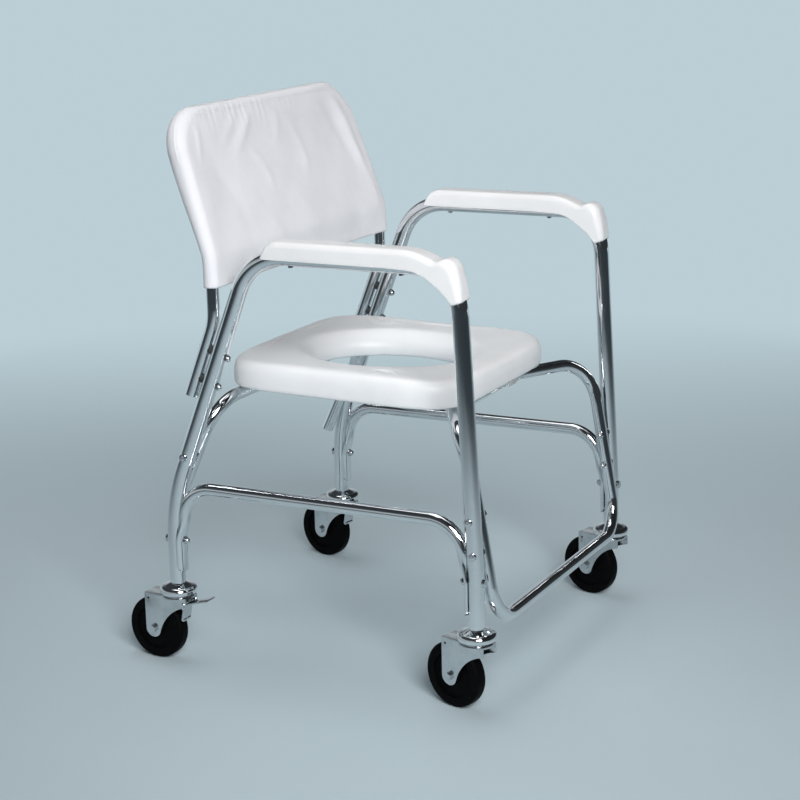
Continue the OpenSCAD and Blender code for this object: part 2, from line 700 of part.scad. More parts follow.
// spacers are hollowed to both tubes and drilled for their bolts
module backrest_spacers(s) centred() color(black) for (z = back_bolt_heights)
  difference() {
    p = back_bolt_at(s, z);
    rod(p, p + lean_out * back_off, spacer_r);
    rod(back_pts[s < 0 ? 0 : 7], back_pts[s < 0 ? 1 : 6], cross_r + fit / 2);
    rod(frame_pts(s)[1], frame_pts(s)[2], main_r + fit / 2);
    hole(p, lean_out, bolt_hole_r, 4 * over);
  }
module backrest_spacers_right() backrest_spacers(-1);
module backrest_spacers_left() backrest_spacers(1);

// bolt across a leg and the cross tube beside it
module side_bolt(s, y, z, leg_a, leg_b, in_a, in_b) {
  p = [s * (half_w + main_r), y, z];
  len = half_w + main_r - inner_x + cross_r;
  difference() {
    bolt_ends(p, [-s, 0, 0], len);
    rod(leg_a, leg_b, main_r + fit / 2);
    rod(in_a, in_b, cross_r + fit / 2);
  }
  shank(p, [-s, 0, 0], len);
}

module side_spacer(s, y, z, leg_a, leg_b, in_a, in_b) difference() {
  rod([s * inner_x, y, z], [s * half_w, y, z], spacer_r);
  rod(leg_a, leg_b, main_r + fit / 2);
  rod(in_a, in_b, cross_r + fit / 2);
  hole([s * half_w, y, z], [1, 0, 0], bolt_hole_r, 4 * over);
}

function loop_low(s) = [s * inner_x, loop_y(foot_joint_z), foot_joint_z];
function loop_high(s) = [s * inner_x, loop_y(front_crank_z), front_crank_z];

module front_bolts(s) centred() color(zinc) for (z = front_bolt_heights)
  side_bolt(s, front_bolt_y(z), z, frame_pts(s)[4], frame_pts(s)[3], loop_low(s), loop_high(s));
module front_bolts_right() front_bolts(-1);
module front_bolts_left() front_bolts(1);

module front_spacers(s) centred() color(black) for (z = front_bolt_heights)
  side_spacer(s, front_bolt_y(z), z, frame_pts(s)[4], frame_pts(s)[3], loop_low(s), loop_high(s));
module front_spacers_right() front_spacers(-1);
module front_spacers_left() front_spacers(1);

function rear_sup_low(s) = [s * inner_x, rear_sup_y(rear_low_z), rear_low_z];
function rear_sup_high(s) = [s * inner_x, rear_bar_y, bar_z];

module rear_bolt(s) centred() color(zinc)
  side_bolt(s, rear_leg_y(rear_cross_z), rear_cross_z, frame_pts(s)[1], frame_pts(s)[2],
    rear_sup_low(s), rear_sup_high(s));
module rear_bolt_right() rear_bolt(-1);
module rear_bolt_left() rear_bolt(1);

module rear_spacer(s) centred() color(black)
  side_spacer(s, rear_leg_y(rear_cross_z), rear_cross_z, frame_pts(s)[1], frame_pts(s)[2],
    rear_sup_low(s), rear_sup_high(s));
module rear_spacer_right() rear_spacer(-1);
module rear_spacer_left() rear_spacer(1);

module stretcher_bolts(s) centred() color(zinc) for (d = [-1, 1]) {
  p = [s * half_w, d * (half_span + main_r), stretcher_bolt_z];
  len = main_r + saddle_r;
  difference() {
    bolt_ends(p, [0, -d, 0], len);
    translate([s * half_w, d * half_span, saddle_low_z]) cylinder(r = main_r + fit, h = stretcher_z);
    difference() {
      translate([s * half_w, d * half_span, saddle_low_z]) cylinder(r = saddle_r + fit / 2, h = stretcher_z);
      translate([s * half_w - over, d > 0 ? half_span : -half_span - over, 0])
        cube([2 * over, over, stretcher_z + stretcher_z]);
    }
  }
  shank(p, [0, -d, 0], len);
}
module stretcher_bolts_right() stretcher_bolts(-1);
module stretcher_bolts_left() stretcher_bolts(1);

// casters are drawn about their stems, heading to the front, and then turned
module at_caster(sx, sy, turn) centred()
  translate([sx * half_w, sy * half_span, 0]) rotate([0, 0, turn]) children();

collar_r = main_bore + main_wall / 2;
module caster_mount() color(chrome) {
  rotate_extrude() union() {
    translate([hood_r - hood_lip, hood_z + hood_lip]) circle(r = hood_lip);
    polygon([[0, hood_z], [hood_r - hood_lip, hood_z], [hood_r - hood_lip, hood_z + 2 * hood_lip],
      [collar_r, leg_end_z - collar_h], [0, leg_end_z - collar_h]]);
  }
  translate([0, 0, leg_end_z - collar_h - fit]) cylinder(r = collar_r, h = collar_h);
  translate([0, 0, leg_end_z - collar_h]) cylinder(r = main_bore - fit, h = collar_h + main_d);
  translate([0, 0, crown_low - face_gap - rivet_h])
    cylinder(r = king_d / 2, h = hood_z - crown_low + 2 * rivet_h);
  translate([0, 0, crown_low - face_gap - rivet_h]) cylinder(r = rivet_r, h = rivet_h);
}
module caster_mount_front_right() at_caster(-1, -1, 0) caster_mount();
module caster_mount_front_left() at_caster(1, -1, 0) caster_mount();
module caster_mount_rear_right() at_caster(-1, 1, 0) caster_mount();
module caster_mount_rear_left() at_caster(1, 1, 0) caster_mount();

// side view of a fork cheek: a strap round the axle, widened forwards under the hood with a hollow front edge;
// the hollow's circle touches the strap's and passes through the cheek's front corner
cheek_front = hood_r * 4 / 5;
cheek_low = crown_low - fork_t * 4;
cheek_corner = [-cheek_front, cheek_low];
axle_at = [trail, axle_z];
corner_far = norm(cheek_corner - axle_at);
corner_way = (cheek_corner - axle_at) / corner_far;
scoop_far = scoop_r + strap_r;
scoop_along = (pow(scoop_far, 2) - pow(scoop_r, 2) + pow(corner_far, 2)) / (2 * corner_far);
scoop_at = axle_at + scoop_along * corner_way
  + sqrt(pow(scoop_far, 2) - pow(scoop_along, 2)) * [-corner_way.y, corner_way.x];
module cheek_shape() {
  translate(axle_at) circle(r = strap_r);
  difference() {
    polygon([[-cheek_front, crown_top], cheek_corner, axle_at + (scoop_at - axle_at) * strap_r / scoop_far,
      axle_at, [trail + strap_r, axle_z], [trail + strap_r, crown_top]]);
    translate(scoop_at) circle(r = scoop_r);
  }
}

module fork(braked) color(zinc) difference() {
  union() {
    translate([0, 0, crown_low]) cylinder(r = hood_r - fork_t, h = fork_t);
    translate([-fork_out, 0, crown_low]) cube([2 * fork_out, trail + strap_r, fork_t]);
    translate([0, 0, crown_top]) cylinder(r = hood_r * 3 / 4, h = fork_t / 2);
    for (s = [-1, 1])
      translate([s * (fork_in + fork_out) / 2 - fork_t / 2, 0, 0])
        rotate([90, 0, 90]) linear_extrude(height = fork_t) cheek_shape();
  }
  translate([0, 0, crown_low - fork_t]) cylinder(r = king_d / 2 + run_fit, h = 4 * fork_t);
  hole([0, trail, axle_z], [1, 0, 0], axle_d / 2 + fit / 2, 4 * over);
  hole([0, trail + strap_r / 2, crown_low - fork_t * 2], [1, 0, 0], fork_t * 2 / 3, 4 * over);
  if (braked)
    hole(brake_at, [1, 0, 0], brake_pin_d / 2 + fit / 2, 4 * over);
}
module fork_front_right() at_caster(-1, -1, turn_front_right) fork(false);
module fork_front_left() at_caster(1, -1, turn_front_left) fork(false);
module fork_rear_right() at_caster(-1, 1, turn_rear_right) fork(true);
module fork_rear_left() at_caster(1, 1, turn_rear_left) fork(true);

nut_r = axle_d * 4 / 5;
nut_h = axle_d * 5 / 8;
module axle() color(zinc) translate([0, trail, axle_z]) rotate([0, 90, 0]) {
  translate([0, 0, -fork_out - nut_h]) cylinder(r = axle_d / 2, h = 2 * (fork_out + nut_h));
  translate([0, 0, -fork_out - nut_h]) cylinder(r = nut_r, h = nut_h, $fn = 6);
  translate([0, 0, fork_out]) cylinder(r = nut_r, h = nut_h, $fn = 6);
}
module axle_front_right() at_caster(-1, -1, turn_front_right) axle();
module axle_front_left() at_caster(1, -1, turn_front_left) axle();
module axle_rear_right() at_caster(-1, 1, turn_rear_right) axle();
module axle_rear_left() at_caster(1, 1, turn_rear_left) axle();

tread_round = wheel_w / 4;
web_half = wheel_w / 3;
rim_r = wheel_r * 7 / 10;
hub_r = wheel_r / 4;
module wheel() color(black) translate([0, trail, axle_z]) rotate([0, 90, 0]) difference() {
  rotate_extrude() union() {
    for (s = [-1, 1])
      translate([wheel_r - tread_round, s * (wheel_w / 2 - tread_round)]) circle(r = tread_round);
    translate([rim_r, -wheel_w / 2]) square([wheel_r - tread_round - rim_r, wheel_w]);
    translate([rim_r, tread_round - wheel_w / 2]) square([wheel_r - rim_r, wheel_w - 2 * tread_round]);
    translate([0, -web_half]) square([rim_r, 2 * web_half]);
    translate([0, -hub_half]) square([hub_r, 2 * hub_half]);
  }
  translate([0, 0, -over]) cylinder(r = axle_d / 2 + run_fit, h = 2 * over);
}
module wheel_front_right() at_caster(-1, -1, turn_front_right) wheel();
module wheel_front_left() at_caster(1, -1, turn_front_left) wheel();
module wheel_rear_right() at_caster(-1, 1, turn_rear_right) wheel();
module wheel_rear_left() at_caster(1, 1, turn_rear_left) wheel();

// brake: the pedal tips about its pin and swings the shoe back against the tread
pedal_w = 2 * (fork_in - 2 * face_gap);
pedal_t = fork_t * 4 / 5;
shoe_r = fork_t;
// angle below level at which the shoe clears the tread by the gap
to_axle = [trail + brake_ahead, axle_z - brake_z];
shoe_far = wheel_r + shoe_gap + shoe_r;
shoe_turn = acos((pow(shoe_reach, 2) + pow(norm(to_axle), 2) - pow(shoe_far, 2))
  / (2 * shoe_reach * norm(to_axle)));
shoe_angle = atan2(to_axle.y, to_axle.x) - shoe_turn;
module brake_pedal() color(zinc) translate(brake_at) difference() {
  union() {
    translate([-pedal_w / 2, 0, 0]) rotate([0, 90, 0]) cylinder(r = brake_pin_d, h = pedal_w);
    rotate([-pedal_rise, 0, 0])
      translate([fit - pedal_w / 2, -pedal_len, -pedal_t / 2]) cube([pedal_w - 2 * fit, pedal_len, pedal_t]);
    rotate([shoe_angle, 0, 0])
      translate([-wheel_w / 2, 0, -pedal_t / 2]) cube([wheel_w, shoe_reach, pedal_t]);
    rotate([shoe_angle, 0, 0]) translate([-wheel_w * 2 / 5, shoe_reach, 0])
      rotate([0, 90, 0]) cylinder(r = shoe_r, h = wheel_w * 4 / 5);
  }
  translate([-over, 0, 0]) rotate([0, 90, 0]) cylinder(r = brake_pin_d / 2 + run_fit, h = 2 * over);
}
module brake_pedal_right() at_caster(-1, 1, turn_rear_right) brake_pedal();
module brake_pedal_left() at_caster(1, 1, turn_rear_left) brake_pedal();

module brake_pin() color(zinc) translate(brake_at) rotate([0, 90, 0]) {
  translate([0, 0, -fork_out - fork_t / 2]) cylinder(r = brake_pin_d / 2, h = 2 * fork_out + fork_t);
  for (s = [-1, 1])
    translate([0, 0, s * (fork_out + fork_t / 4) - fork_t / 4]) cylinder(r = brake_pin_d * 4 / 5, h = fork_t / 2);
}
module brake_pin_right() at_caster(-1, 1, turn_rear_right) brake_pin();
module brake_pin_left() at_caster(1, 1, turn_rear_left) brake_pin();

side_frame_right();
side_frame_left();
stretcher_right();
stretcher_left();
front_seat_support();
front_foot_bar();
rear_seat_support();
backrest_frame();
backrest_sleeve();
seat_cushion();
seat_clips_front();
seat_clips_rear();
arm_pad_right();
arm_pad_left();
pad_screws_right();
pad_screws_left();
backrest_bolts_right();
backrest_bolts_left();
backrest_spacers_right();
backrest_spacers_left();
front_bolts_right();
front_bolts_left();
front_spacers_right();
front_spacers_left();
rear_bolt_right();
rear_bolt_left();
rear_spacer_right();
rear_spacer_left();
stretcher_bolts_right();
stretcher_bolts_left();
caster_mount_front_right();
caster_mount_front_left();
caster_mount_rear_right();
caster_mount_rear_left();
fork_front_right();
fork_front_left();
fork_rear_right();
fork_rear_left();
axle_front_right();
axle_front_left();
axle_rear_right();
axle_rear_left();
wheel_front_right();
wheel_front_left();
wheel_rear_right();
wheel_rear_left();
brake_pedal_right();
brake_pedal_left();
brake_pin_right();
brake_pin_left();
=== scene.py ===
import json
import math

import bpy
import numpy as np
from bpy.props import FloatProperty, FloatVectorProperty, PointerProperty
from mathutils import Matrix


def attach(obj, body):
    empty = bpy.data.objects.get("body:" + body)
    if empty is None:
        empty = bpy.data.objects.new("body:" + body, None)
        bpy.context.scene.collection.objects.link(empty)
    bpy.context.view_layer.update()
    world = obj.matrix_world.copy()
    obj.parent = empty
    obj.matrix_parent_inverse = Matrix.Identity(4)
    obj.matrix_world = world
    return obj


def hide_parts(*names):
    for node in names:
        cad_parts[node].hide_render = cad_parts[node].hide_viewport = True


bl_info = {
    "name": "Shower commode chair",
    "version": (1, 0, 0),
    "blender": (4, 5, 0),
    "location": "View3D > Sidebar > Chair",
    "description": "Dresses the packed chair with its cloth, foam, mouldings and finishes",
    "category": "Object",
}

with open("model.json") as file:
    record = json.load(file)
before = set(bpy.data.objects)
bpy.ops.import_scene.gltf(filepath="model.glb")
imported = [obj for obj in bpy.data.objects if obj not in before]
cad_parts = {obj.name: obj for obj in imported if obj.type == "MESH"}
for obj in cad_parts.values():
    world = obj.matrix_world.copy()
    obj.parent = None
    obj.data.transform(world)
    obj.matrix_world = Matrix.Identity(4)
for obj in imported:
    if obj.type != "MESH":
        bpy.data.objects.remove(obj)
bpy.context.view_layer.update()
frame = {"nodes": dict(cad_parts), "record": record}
SIDES = {"right": -1.0, "left": 1.0}
CHAIR = "chair"
TAU = 2 * math.pi
TINY = 1e-6
EDGE_SHARE = 0.35  # part of a pressed end's section, as a cosine, in which its inside turns to its outside


# sizes and colours that a user would change

def size(name, default, about):
    """A length in metres."""
    return FloatProperty(name=name, description=about, default=default, min=0.0, unit="LENGTH",
                         subtype="DISTANCE", precision=4)


def tint(name, default, about):
    """A colour, written as it should look under plain light."""
    return FloatVectorProperty(name=name, description=about, default=default, subtype="COLOR",
                               size=3, min=0.0, max=1.0)


def turn(name, default, about):
    """An angle, its default given in degrees."""
    return FloatProperty(name=name, description=about, default=math.radians(default), subtype="ANGLE",
                         unit="ROTATION")


def share(name, default, about):
    """A plain number."""
    return FloatProperty(name=name, description=about, default=default)


class ChairFrameSizes(bpy.types.PropertyGroup):
    """Centre lines of the tubes, as the frame has them."""
    half_w: size("Half width", 0.27, "Middle of the chair to a side frame's centre line")
    half_span: size("Half span", 0.26, "Middle of the stems to a stem")
    shift: size("Shift", 0.0314, "Middle of the stems to the middle of the chair's box")
    main_r: size("Main tube", 0.0127, "Radius of the side frames' tube")
    cross_r: size("Cross tube", 0.01, "Radius of the cross tubes")
    arm_z: size("Arm height", 0.664, "Height of the arm tube's centre line")
    rear_knee_z: size("Rear knee", 0.264, "Height of the rear leg's knee")
    rear_knee_r: size("Rear knee radius", 0.35, "Bend radius of the rear knee")
    rear_lean: turn("Rear lean", 21.8, "Forward lean of the rear leg")
    front_knee_z: size("Front knee", 0.219, "Height of the front leg's knee")
    front_lean: turn("Front lean", 2.6, "Backward lean of the front leg")
    front_bend_r: size("Front bend", 0.07, "Bend radius in front of the arm")


class StretcherSizes(bpy.types.PropertyGroup):
    """Side stretchers with pressed ends."""
    height: size("Height", 0.291, "Height of the straight length")
    bend_r: size("Bend", 0.056, "Bend radius")
    off: size("Stand off", 0.0177, "Leg's centre line to the stretcher's in the upright ends")
    low_z: size("Lower end", 0.152, "Height of the pressed end's lower edge")
    press_high: size("Press start", 0.244, "Height at which the tube starts to flatten")
    press_low: size("Press end", 0.200, "Height at which it is quite flat")
    saddle_r: size("Saddle", 0.0178, "Outer radius of the pressed end round the leg")
    half_w: size("Saddle half width", 0.0152, "Half the width of the pressed end")
    fit: size("Fit", 0.00025, "Gap between the leg and what is pressed round it")
    tip_start: size("Tip start", 0.011, "Height over the lower edge at which the end starts to narrow")
    tip_reach: size("Tip reach", 0.0135, "Length over which it would narrow to nothing")


class SleeveSizes(bpy.types.PropertyGroup):
    """Cloth sleeve over the backrest's tube."""
    low_z: size("Hem", 0.611, "Height of the hem")
    top_z: size("Top tube", 0.859, "Height of the top tube's centre line")
    low_half: size("Low half width", 0.27, "Half the distance of the side tubes below the knee")
    top_half: size("Top half width", 0.252, "Half the distance of the side tubes at the top")
    knee_z: size("Knee", 0.656, "Height of the upper knee")
    back_y: size("Depth", 0.1692, "Place of the tube below the knee, behind the middle of the stems")
    lean: turn("Lean", 18.8, "Backward lean above the knee")
    knee_ease: size("Knee easing", 0.006, "Length over which the knee is eased")
    corner_r: size("Corner", 0.065, "Bend radius of the top corners")
    slack: size("Slack", 0.0024, "Space between cloth and tube")
    over_top: size("Over the top", 0.0002, "Space between cloth and tube on top")
    snug: size("Snug", 0.0016, "How much less of it is left below the knee")
    cloth: size("Cloth", 0.0016, "Thickness of the cloth")
    waist: size("Waist", 0.006, "Half the distance of the layers in the middle")
    full: size("Fullness", 0.011, "How far the back layer stands off")
    folds: share("Folds", 1.0, "Height of the long folds, as a share of the listed one")
    gather: size("Gathers", 0.0008, "Height of the small gathers under the top")
    hem: size("Hem depth", 0.014, "Depth of the turned hem")


class SeatSizes(bpy.types.PropertyGroup):
    """Foam seat with an oval opening."""
    low_z: size("Underside", 0.436, "Height of the underside")
    front: size("Front edge", 0.19, "Middle of the stems to the front edge")
    back: size("Back edge", 0.216, "Middle of the stems to the back edge")
    half_w: size("Half width", 0.199, "Half the width")
    tilt: turn("Tilt", 1.0, "Slope down to the front")
    pivot_y: size("Rear bar", 0.1906, "Middle of the stems to the rear bar, about which the seat slopes")
    front_fall: size("Front fall", 0.0035, "How far the top falls towards the front edge")
    side_fall: size("Side fall", 0.0012, "How far it falls towards the sides")
    hole_half_w: size("Opening half width", 0.104, "Half the opening's width")
    hole_half_l: size("Opening half length", 0.126, "Half the opening's length")


class PadSizes(bpy.types.PropertyGroup):
    """Moulded pads on the arms."""
    top: size("Top", 0.025, "Flat top above the tube's centre line")
    rear_y: size("Rear end", 0.063, "Upper rear edge behind the middle of the stems")
    rear_round: size("Rear rounding", 0.017, "Rounding of the upper rear edge")
    end_slope: turn("End slope", 66, "Slope of the rear end")
    wrap: turn("Wrap", 74, "Part of the front bend that is covered")
    front_round: size("Front rounding", 0.0032, "Rounding of the front end")
    side_round: size("Side rounding", 0.006, "Rounding of the rear end's upright edges")
    rear_share: share("Rear share", 0.75, "Part of the roundings that the rear end keeps")
    top_least: size("Least top", 0.003, "Half the width of the top that the roundings leave")
    lip: size("Lip", 0.0012, "Rounding of the lower edges")
    crown: size("Crown", 0.0009, "Rise of the top in its middle")
    fit: size("Fit", 0.0002, "Gap between the pad and the tube")


class FinishColours(bpy.types.PropertyGroup):
    """Colours of the finishes."""
    chrome: tint("Chrome", (0.80, 0.82, 0.84), "Plated tube")
    zinc: tint("Zinc", (0.66, 0.68, 0.70), "Plated pressings and bolts")
    rubber: tint("Wheel", (0.003, 0.003, 0.0033), "Wheels")
    dust: tint("Dust", (0.11, 0.105, 0.10), "Dust on the wheels")
    pad: tint("Pad", (0.93, 0.93, 0.94), "Moulded pads")
    foam: tint("Foam", (0.92, 0.93, 0.945), "Seat")
    cloth: tint("Cloth", (0.92, 0.922, 0.96), "Sleeve")
    clip: tint("Clip", (0.80, 0.80, 0.80), "Seat clips")
    spacer: tint("Spacer", (0.03, 0.03, 0.03), "Spacers")
    floor: tint("Floor", (0.60, 0.72, 0.77), "Floor")
    backdrop: tint("Backdrop", (0.50, 0.62, 0.67), "Backdrop behind the floor")


class StageSizes(bpy.types.PropertyGroup):
    """Camera and lamps."""
    lens: FloatProperty(name="Lens", description="Focal length on a 36 mm wide sensor", default=88.87,
                        unit="CAMERA")
    azimuth: turn("Azimuth", -62.567, "Direction from which the camera looks")
    elevation: turn("Elevation", 14.313, "Height of the camera above the horizon")
    roll: turn("Roll", -1.446, "Tilt of the camera")
    place: FloatVectorProperty(name="Place", description="Where the camera stands", subtype="TRANSLATION",
                               default=(-2.7295, -1.4511, 1.1725))
    key: FloatProperty(name="Key lamp", description="Power of the main lamp", default=21.8, unit="POWER")
    top: FloatProperty(name="Top lamp", description="Power of the lamp above", default=6.0, unit="POWER")


GROUPS = {"chair_frame": ChairFrameSizes, "chair_stretcher": StretcherSizes, "chair_sleeve": SleeveSizes,
          "chair_seat": SeatSizes, "chair_pad": PadSizes, "chair_colours": FinishColours,
          "chair_stage": StageSizes}


# shapes
# in these functions s holds the frame's sizes and t the piece's own

def smooth(a, b, x):
    """0 below a, 1 above b and 3t^2 - 2t^3 between them."""
    t = np.clip((np.asarray(x, float) - a) / (b - a), 0, 1)
    return t * t * (3 - 2 * t)


def quads(rows, cols, wrap):
    """Faces of a grid of points kept row by row: each joins a point, its right neighbour and the two above
    them; with wrap the last column joins the first."""
    r, c = np.meshgrid(np.arange(rows - 1), np.arange(cols if wrap else cols - 1), indexing="ij")
    d = (c + 1) % cols
    low, high = r * cols, (r + 1) * cols
    return np.stack([low + c, low + d, high + d, high + c], -1).reshape(-1, 4)


def outward(points, faces):
    """The faces, turned over if six times their signed volume, the sum of a . (b x c), is negative."""
    a, b, c, d = (points[faces[:, k]] for k in range(4))
    volume = np.einsum("ij,ij->i", a, np.cross(b, c) + np.cross(c, d)).sum()
    return faces[:, ::-1] if volume < 0 else faces


def link_object(name, data):
    """A new object of the scene."""
    o = bpy.data.objects.new(name, data)
    bpy.context.scene.collection.objects.link(o)
    return o


def mesh_piece(name, points, faces, uv=None):
    """A mesh object at the origin, smooth shaded, with its place in its points; uv gives a pair for
    each."""
    faces = outward(points, faces)
    mesh = bpy.data.meshes.new(name)
    mesh.from_pydata(points.tolist(), [], faces.tolist())
    if uv is not None:
        corners = np.empty(len(mesh.loops), np.int32)
        mesh.loops.foreach_get("vertex_index", corners)
        layer = mesh.uv_layers.new(name="UVMap")
        layer.data.foreach_set("uv", uv[corners].astype(np.float32).ravel())
    mesh.polygons.foreach_set("use_smooth", np.ones(len(mesh.polygons), bool))
    mesh.update()
    return link_object(name, mesh)


def spline_loop(control, steps):
    """Closed uniform cubic B-spline through arrays of control points: control has the shape (..., k, 2),
    and each span is the four basis polynomials of the step's share times four neighbouring points."""
    t = np.arange(steps) / steps
    basis = np.stack([(1 - t) ** 3, 3 * t ** 3 - 6 * t ** 2 + 4,
                      -3 * t ** 3 + 3 * t ** 2 + 3 * t + 1, t ** 3]) / 6
    near = np.stack([np.roll(control, 1 - k, axis=-2) for k in range(4)])
    loop = np.einsum("bs,b...kc->...ksc", basis, near)
    return loop.reshape(*control.shape[:-2], -1, 2)


def rear_leg_y(z, s):
    """Rear leg's centre line behind the middle of the stems: upright, then an arc of the knee's radius,
    then the straight lean."""
    start = s.rear_knee_z - s.rear_knee_r * math.tan(s.rear_lean / 2)
    end = start + s.rear_knee_r * math.sin(s.rear_lean)
    arc = s.rear_knee_r - np.sqrt(s.rear_knee_r ** 2 - np.clip(z - start, 0, end - start) ** 2)
    return s.half_span - arc - np.clip(z - end, 0, None) * math.tan(s.rear_lean)


def front_leg_y(z, s):
    """Front leg's centre line: upright, then leaning back by the tangent of its lean."""
    return -s.half_span + np.clip(z - s.front_knee_z, 0, None) * math.tan(s.front_lean)


def stretcher_half(s, t, stations, around):
    """The round half of a stretcher, where v runs from the leg to the middle: x, v and z of its points,
    their angles and the height of the centre line, which is the upright end, a quarter turn and half the
    straight length."""
    low, turn_z = t.low_z, t.height - t.bend_r
    up = np.linspace(low, turn_z, stations)
    angle = np.linspace(0, math.pi / 2, stations)[1:]
    flat = np.linspace(t.off + t.bend_r, s.half_span, stations // 3)[1:]
    centre_v = np.concatenate([np.full(stations, t.off), t.off + t.bend_r * (1 - np.cos(angle)), flat])
    centre_z = np.concatenate([up, turn_z + t.bend_r * np.sin(angle), np.full(len(flat), t.height)])
    tilt = np.concatenate([np.zeros(stations), angle, np.full(len(flat), math.pi / 2)])
    a = np.linspace(0, TAU, around, endpoint=False)
    x = s.cross_r * np.sin(a)[None, :] + 0 * tilt[:, None]
    v = centre_v[:, None] + s.cross_r * np.cos(a) * np.cos(tilt)[:, None]
    z = centre_z[:, None] - s.cross_r * np.cos(a) * np.sin(tilt)[:, None]
    return x, v, z, a, centre_z


def stretcher_points(s, t, leg_y, sign, stations=44, around=48):
    """The half stretcher beside the leg whose centre line is leg_y(z); sign is the way from the leg to
    the middle. Its round section is pushed out of the leg, and on the way down it changes into a
    crescent: an arc round the leg from one edge to the other and back."""
    x, v, z, a, centre_z = stretcher_half(s, t, stations, around)
    home = leg_y(np.array(t.low_z))
    bow = sign * (leg_y(z) - home)
    reach = v - bow
    far = np.hypot(x, reach)
    inner = s.main_r + t.fit
    push = np.maximum(1.0, inner / np.maximum(far, TINY))
    x_fit, v_fit = x * push, reach * push
    widest = math.asin(t.half_w / t.saddle_r)
    narrow = np.clip((t.low_z + t.tip_start - centre_z) / t.tip_reach, 0, 1)
    tip = np.sqrt(1 - narrow ** 2)
    psi = widest * (2 / math.pi) * np.arcsin(np.sin(a))[None, :] * tip[:, None]
    radius = inner + (t.saddle_r - inner) * smooth(-EDGE_SHARE, EDGE_SHARE, np.cos(a))[None, :]
    flat = (1 - smooth(t.press_low, t.press_high, centre_z))[:, None]
    x_out = x_fit * (1 - flat) + radius * np.sin(psi) * flat
    v_out = v_fit * (1 - flat) + radius * np.cos(psi) * flat + bow
    return np.stack([x_out, home + sign * v_out, z], -1)


def stretcher_mesh(s, t, side):
    """A whole stretcher: the rear half and the front half, turned round so that one follows the other,
    with both ends closed across the section."""
    rear = stretcher_points(s, t, lambda z: rear_leg_y(z, s), -1.0)
    front = stretcher_points(s, t, lambda z: front_leg_y(z, s), 1.0)
    rings = np.concatenate([rear, front[-2::-1]])
    rows, around = rings.shape[:2]
    points = rings.reshape(-1, 3) + np.array([side * s.half_w, -s.shift, 0.0])
    half = np.arange(around // 2)
    lid = np.stack([half, half + 1, (around - half - 1) % around, (around - half) % around], -1)[1:-1]
    last = (rows - 1) * around
    faces = np.concatenate([quads(rows, around, True), lid[:, ::-1], lid + last])
    return points, faces


def sleeve_axis(z, t):
    """Place and half width of the tube under the sleeve at the height z. The knee is eased by half the
    sum of the height over it and the root of that height's square plus a small square."""
    d = z - t.knee_z
    rise = (d + np.sqrt(d * d + t.knee_ease ** 2)) / 2
    rise = np.minimum(rise, t.top_z - t.knee_z)
    half = t.low_half + (t.top_half - t.low_half) * np.clip(d, 0, None) / (t.top_z - t.knee_z)
    return t.back_y + rise * math.tan(t.lean), half


def sleeve_corner(z, t):
    """Centre of the top corner as (x, z), and how far z lies above it, measured along the leaning tube up
    to the top tube and upright over it."""
    slope = math.atan((t.low_half - t.top_half) * math.cos(t.lean) / (t.top_z - t.knee_z))
    x = t.top_half - t.corner_r * math.tan((math.pi / 2 - slope) / 2)
    rise = t.corner_r + (z - t.top_z) / np.where(z > t.top_z, 1.0, math.cos(t.lean))
    return x, t.top_z - t.corner_r * math.cos(t.lean), rise


WAIST_SHARE = 0.75  # reach of the cloth's fall from tube to waist, as a share of the corner's radius


def sleeve_depth(x, z, r, waist, t):
    """Half the distance between the layers, and the depth inside the tube's centre line: the roll round
    the tube outside that line, and inside it a waist plus the rest times the bell exp(-(depth /
    reach)^2)."""
    corner_x, corner_z, rise = sleeve_corner(z, t)
    half = sleeve_axis(z, t)[1]
    at_corner = (z > corner_z) & (x > corner_x)
    in_corner = t.corner_r - np.hypot(x - corner_x, rise)
    d = np.where(at_corner, in_corner, np.minimum(half - x, t.corner_r - rise))
    roll = np.sqrt(np.clip(r * r - d * d, 0, None))
    bell = np.exp(-(np.clip(d, 0, None) / (WAIST_SHARE * t.corner_r)) ** 2)
    return np.where(d < 0, roll, waist + (r - waist) * bell), d


FOLD_BOW = 0.006  # how far a fold's line bows
FOLD_PART = 3  # a fold is full up to its length divided by this from its middle
FOLD_FADE = 4  # and fades over its length divided by this
FRONT_FOLDS = (
    # x and z of both ends, half width and height of a soft fold in the front layer
    (-0.222, 0.862, -0.228, 0.800, 0.007, 0.0016),
    (-0.060, 0.858, -0.118, 0.800, 0.010, 0.0022),
    (-0.100, 0.866, -0.150, 0.815, 0.009, 0.0016),
    (-0.075, 0.790, -0.050, 0.735, 0.011, 0.0015),
    (0.055, 0.815, 0.070, 0.745, 0.012, 0.0017),
    (0.012, 0.850, 0.000, 0.800, 0.010, 0.0012),
    (0.206, 0.855, 0.238, 0.735, 0.012, 0.0028),
    (0.168, 0.850, 0.212, 0.760, 0.012, -0.0018),
    (0.235, 0.760, 0.256, 0.668, 0.010, 0.0020),
    (-0.196, 0.780, -0.150, 0.690, 0.014, -0.0014),
    (-0.120, 0.730, -0.060, 0.640, 0.020, 0.0014),
    (0.110, 0.700, 0.200, 0.640, 0.020, -0.0014),
    (0.030, 0.690, 0.050, 0.620, 0.018, 0.0010),
)
BACK_FOLDS = (
    (-0.180, 0.850, -0.110, 0.740, 0.014, 0.0024),
    (-0.020, 0.860, 0.010, 0.760, 0.013, -0.0020),
    (0.120, 0.855, 0.080, 0.750, 0.014, 0.0022),
    (0.200, 0.830, 0.220, 0.700, 0.014, 0.0022),
    (-0.200, 0.740, -0.120, 0.650, 0.016, -0.0016),
    (0.060, 0.720, 0.150, 0.640, 0.018, 0.0016),
)


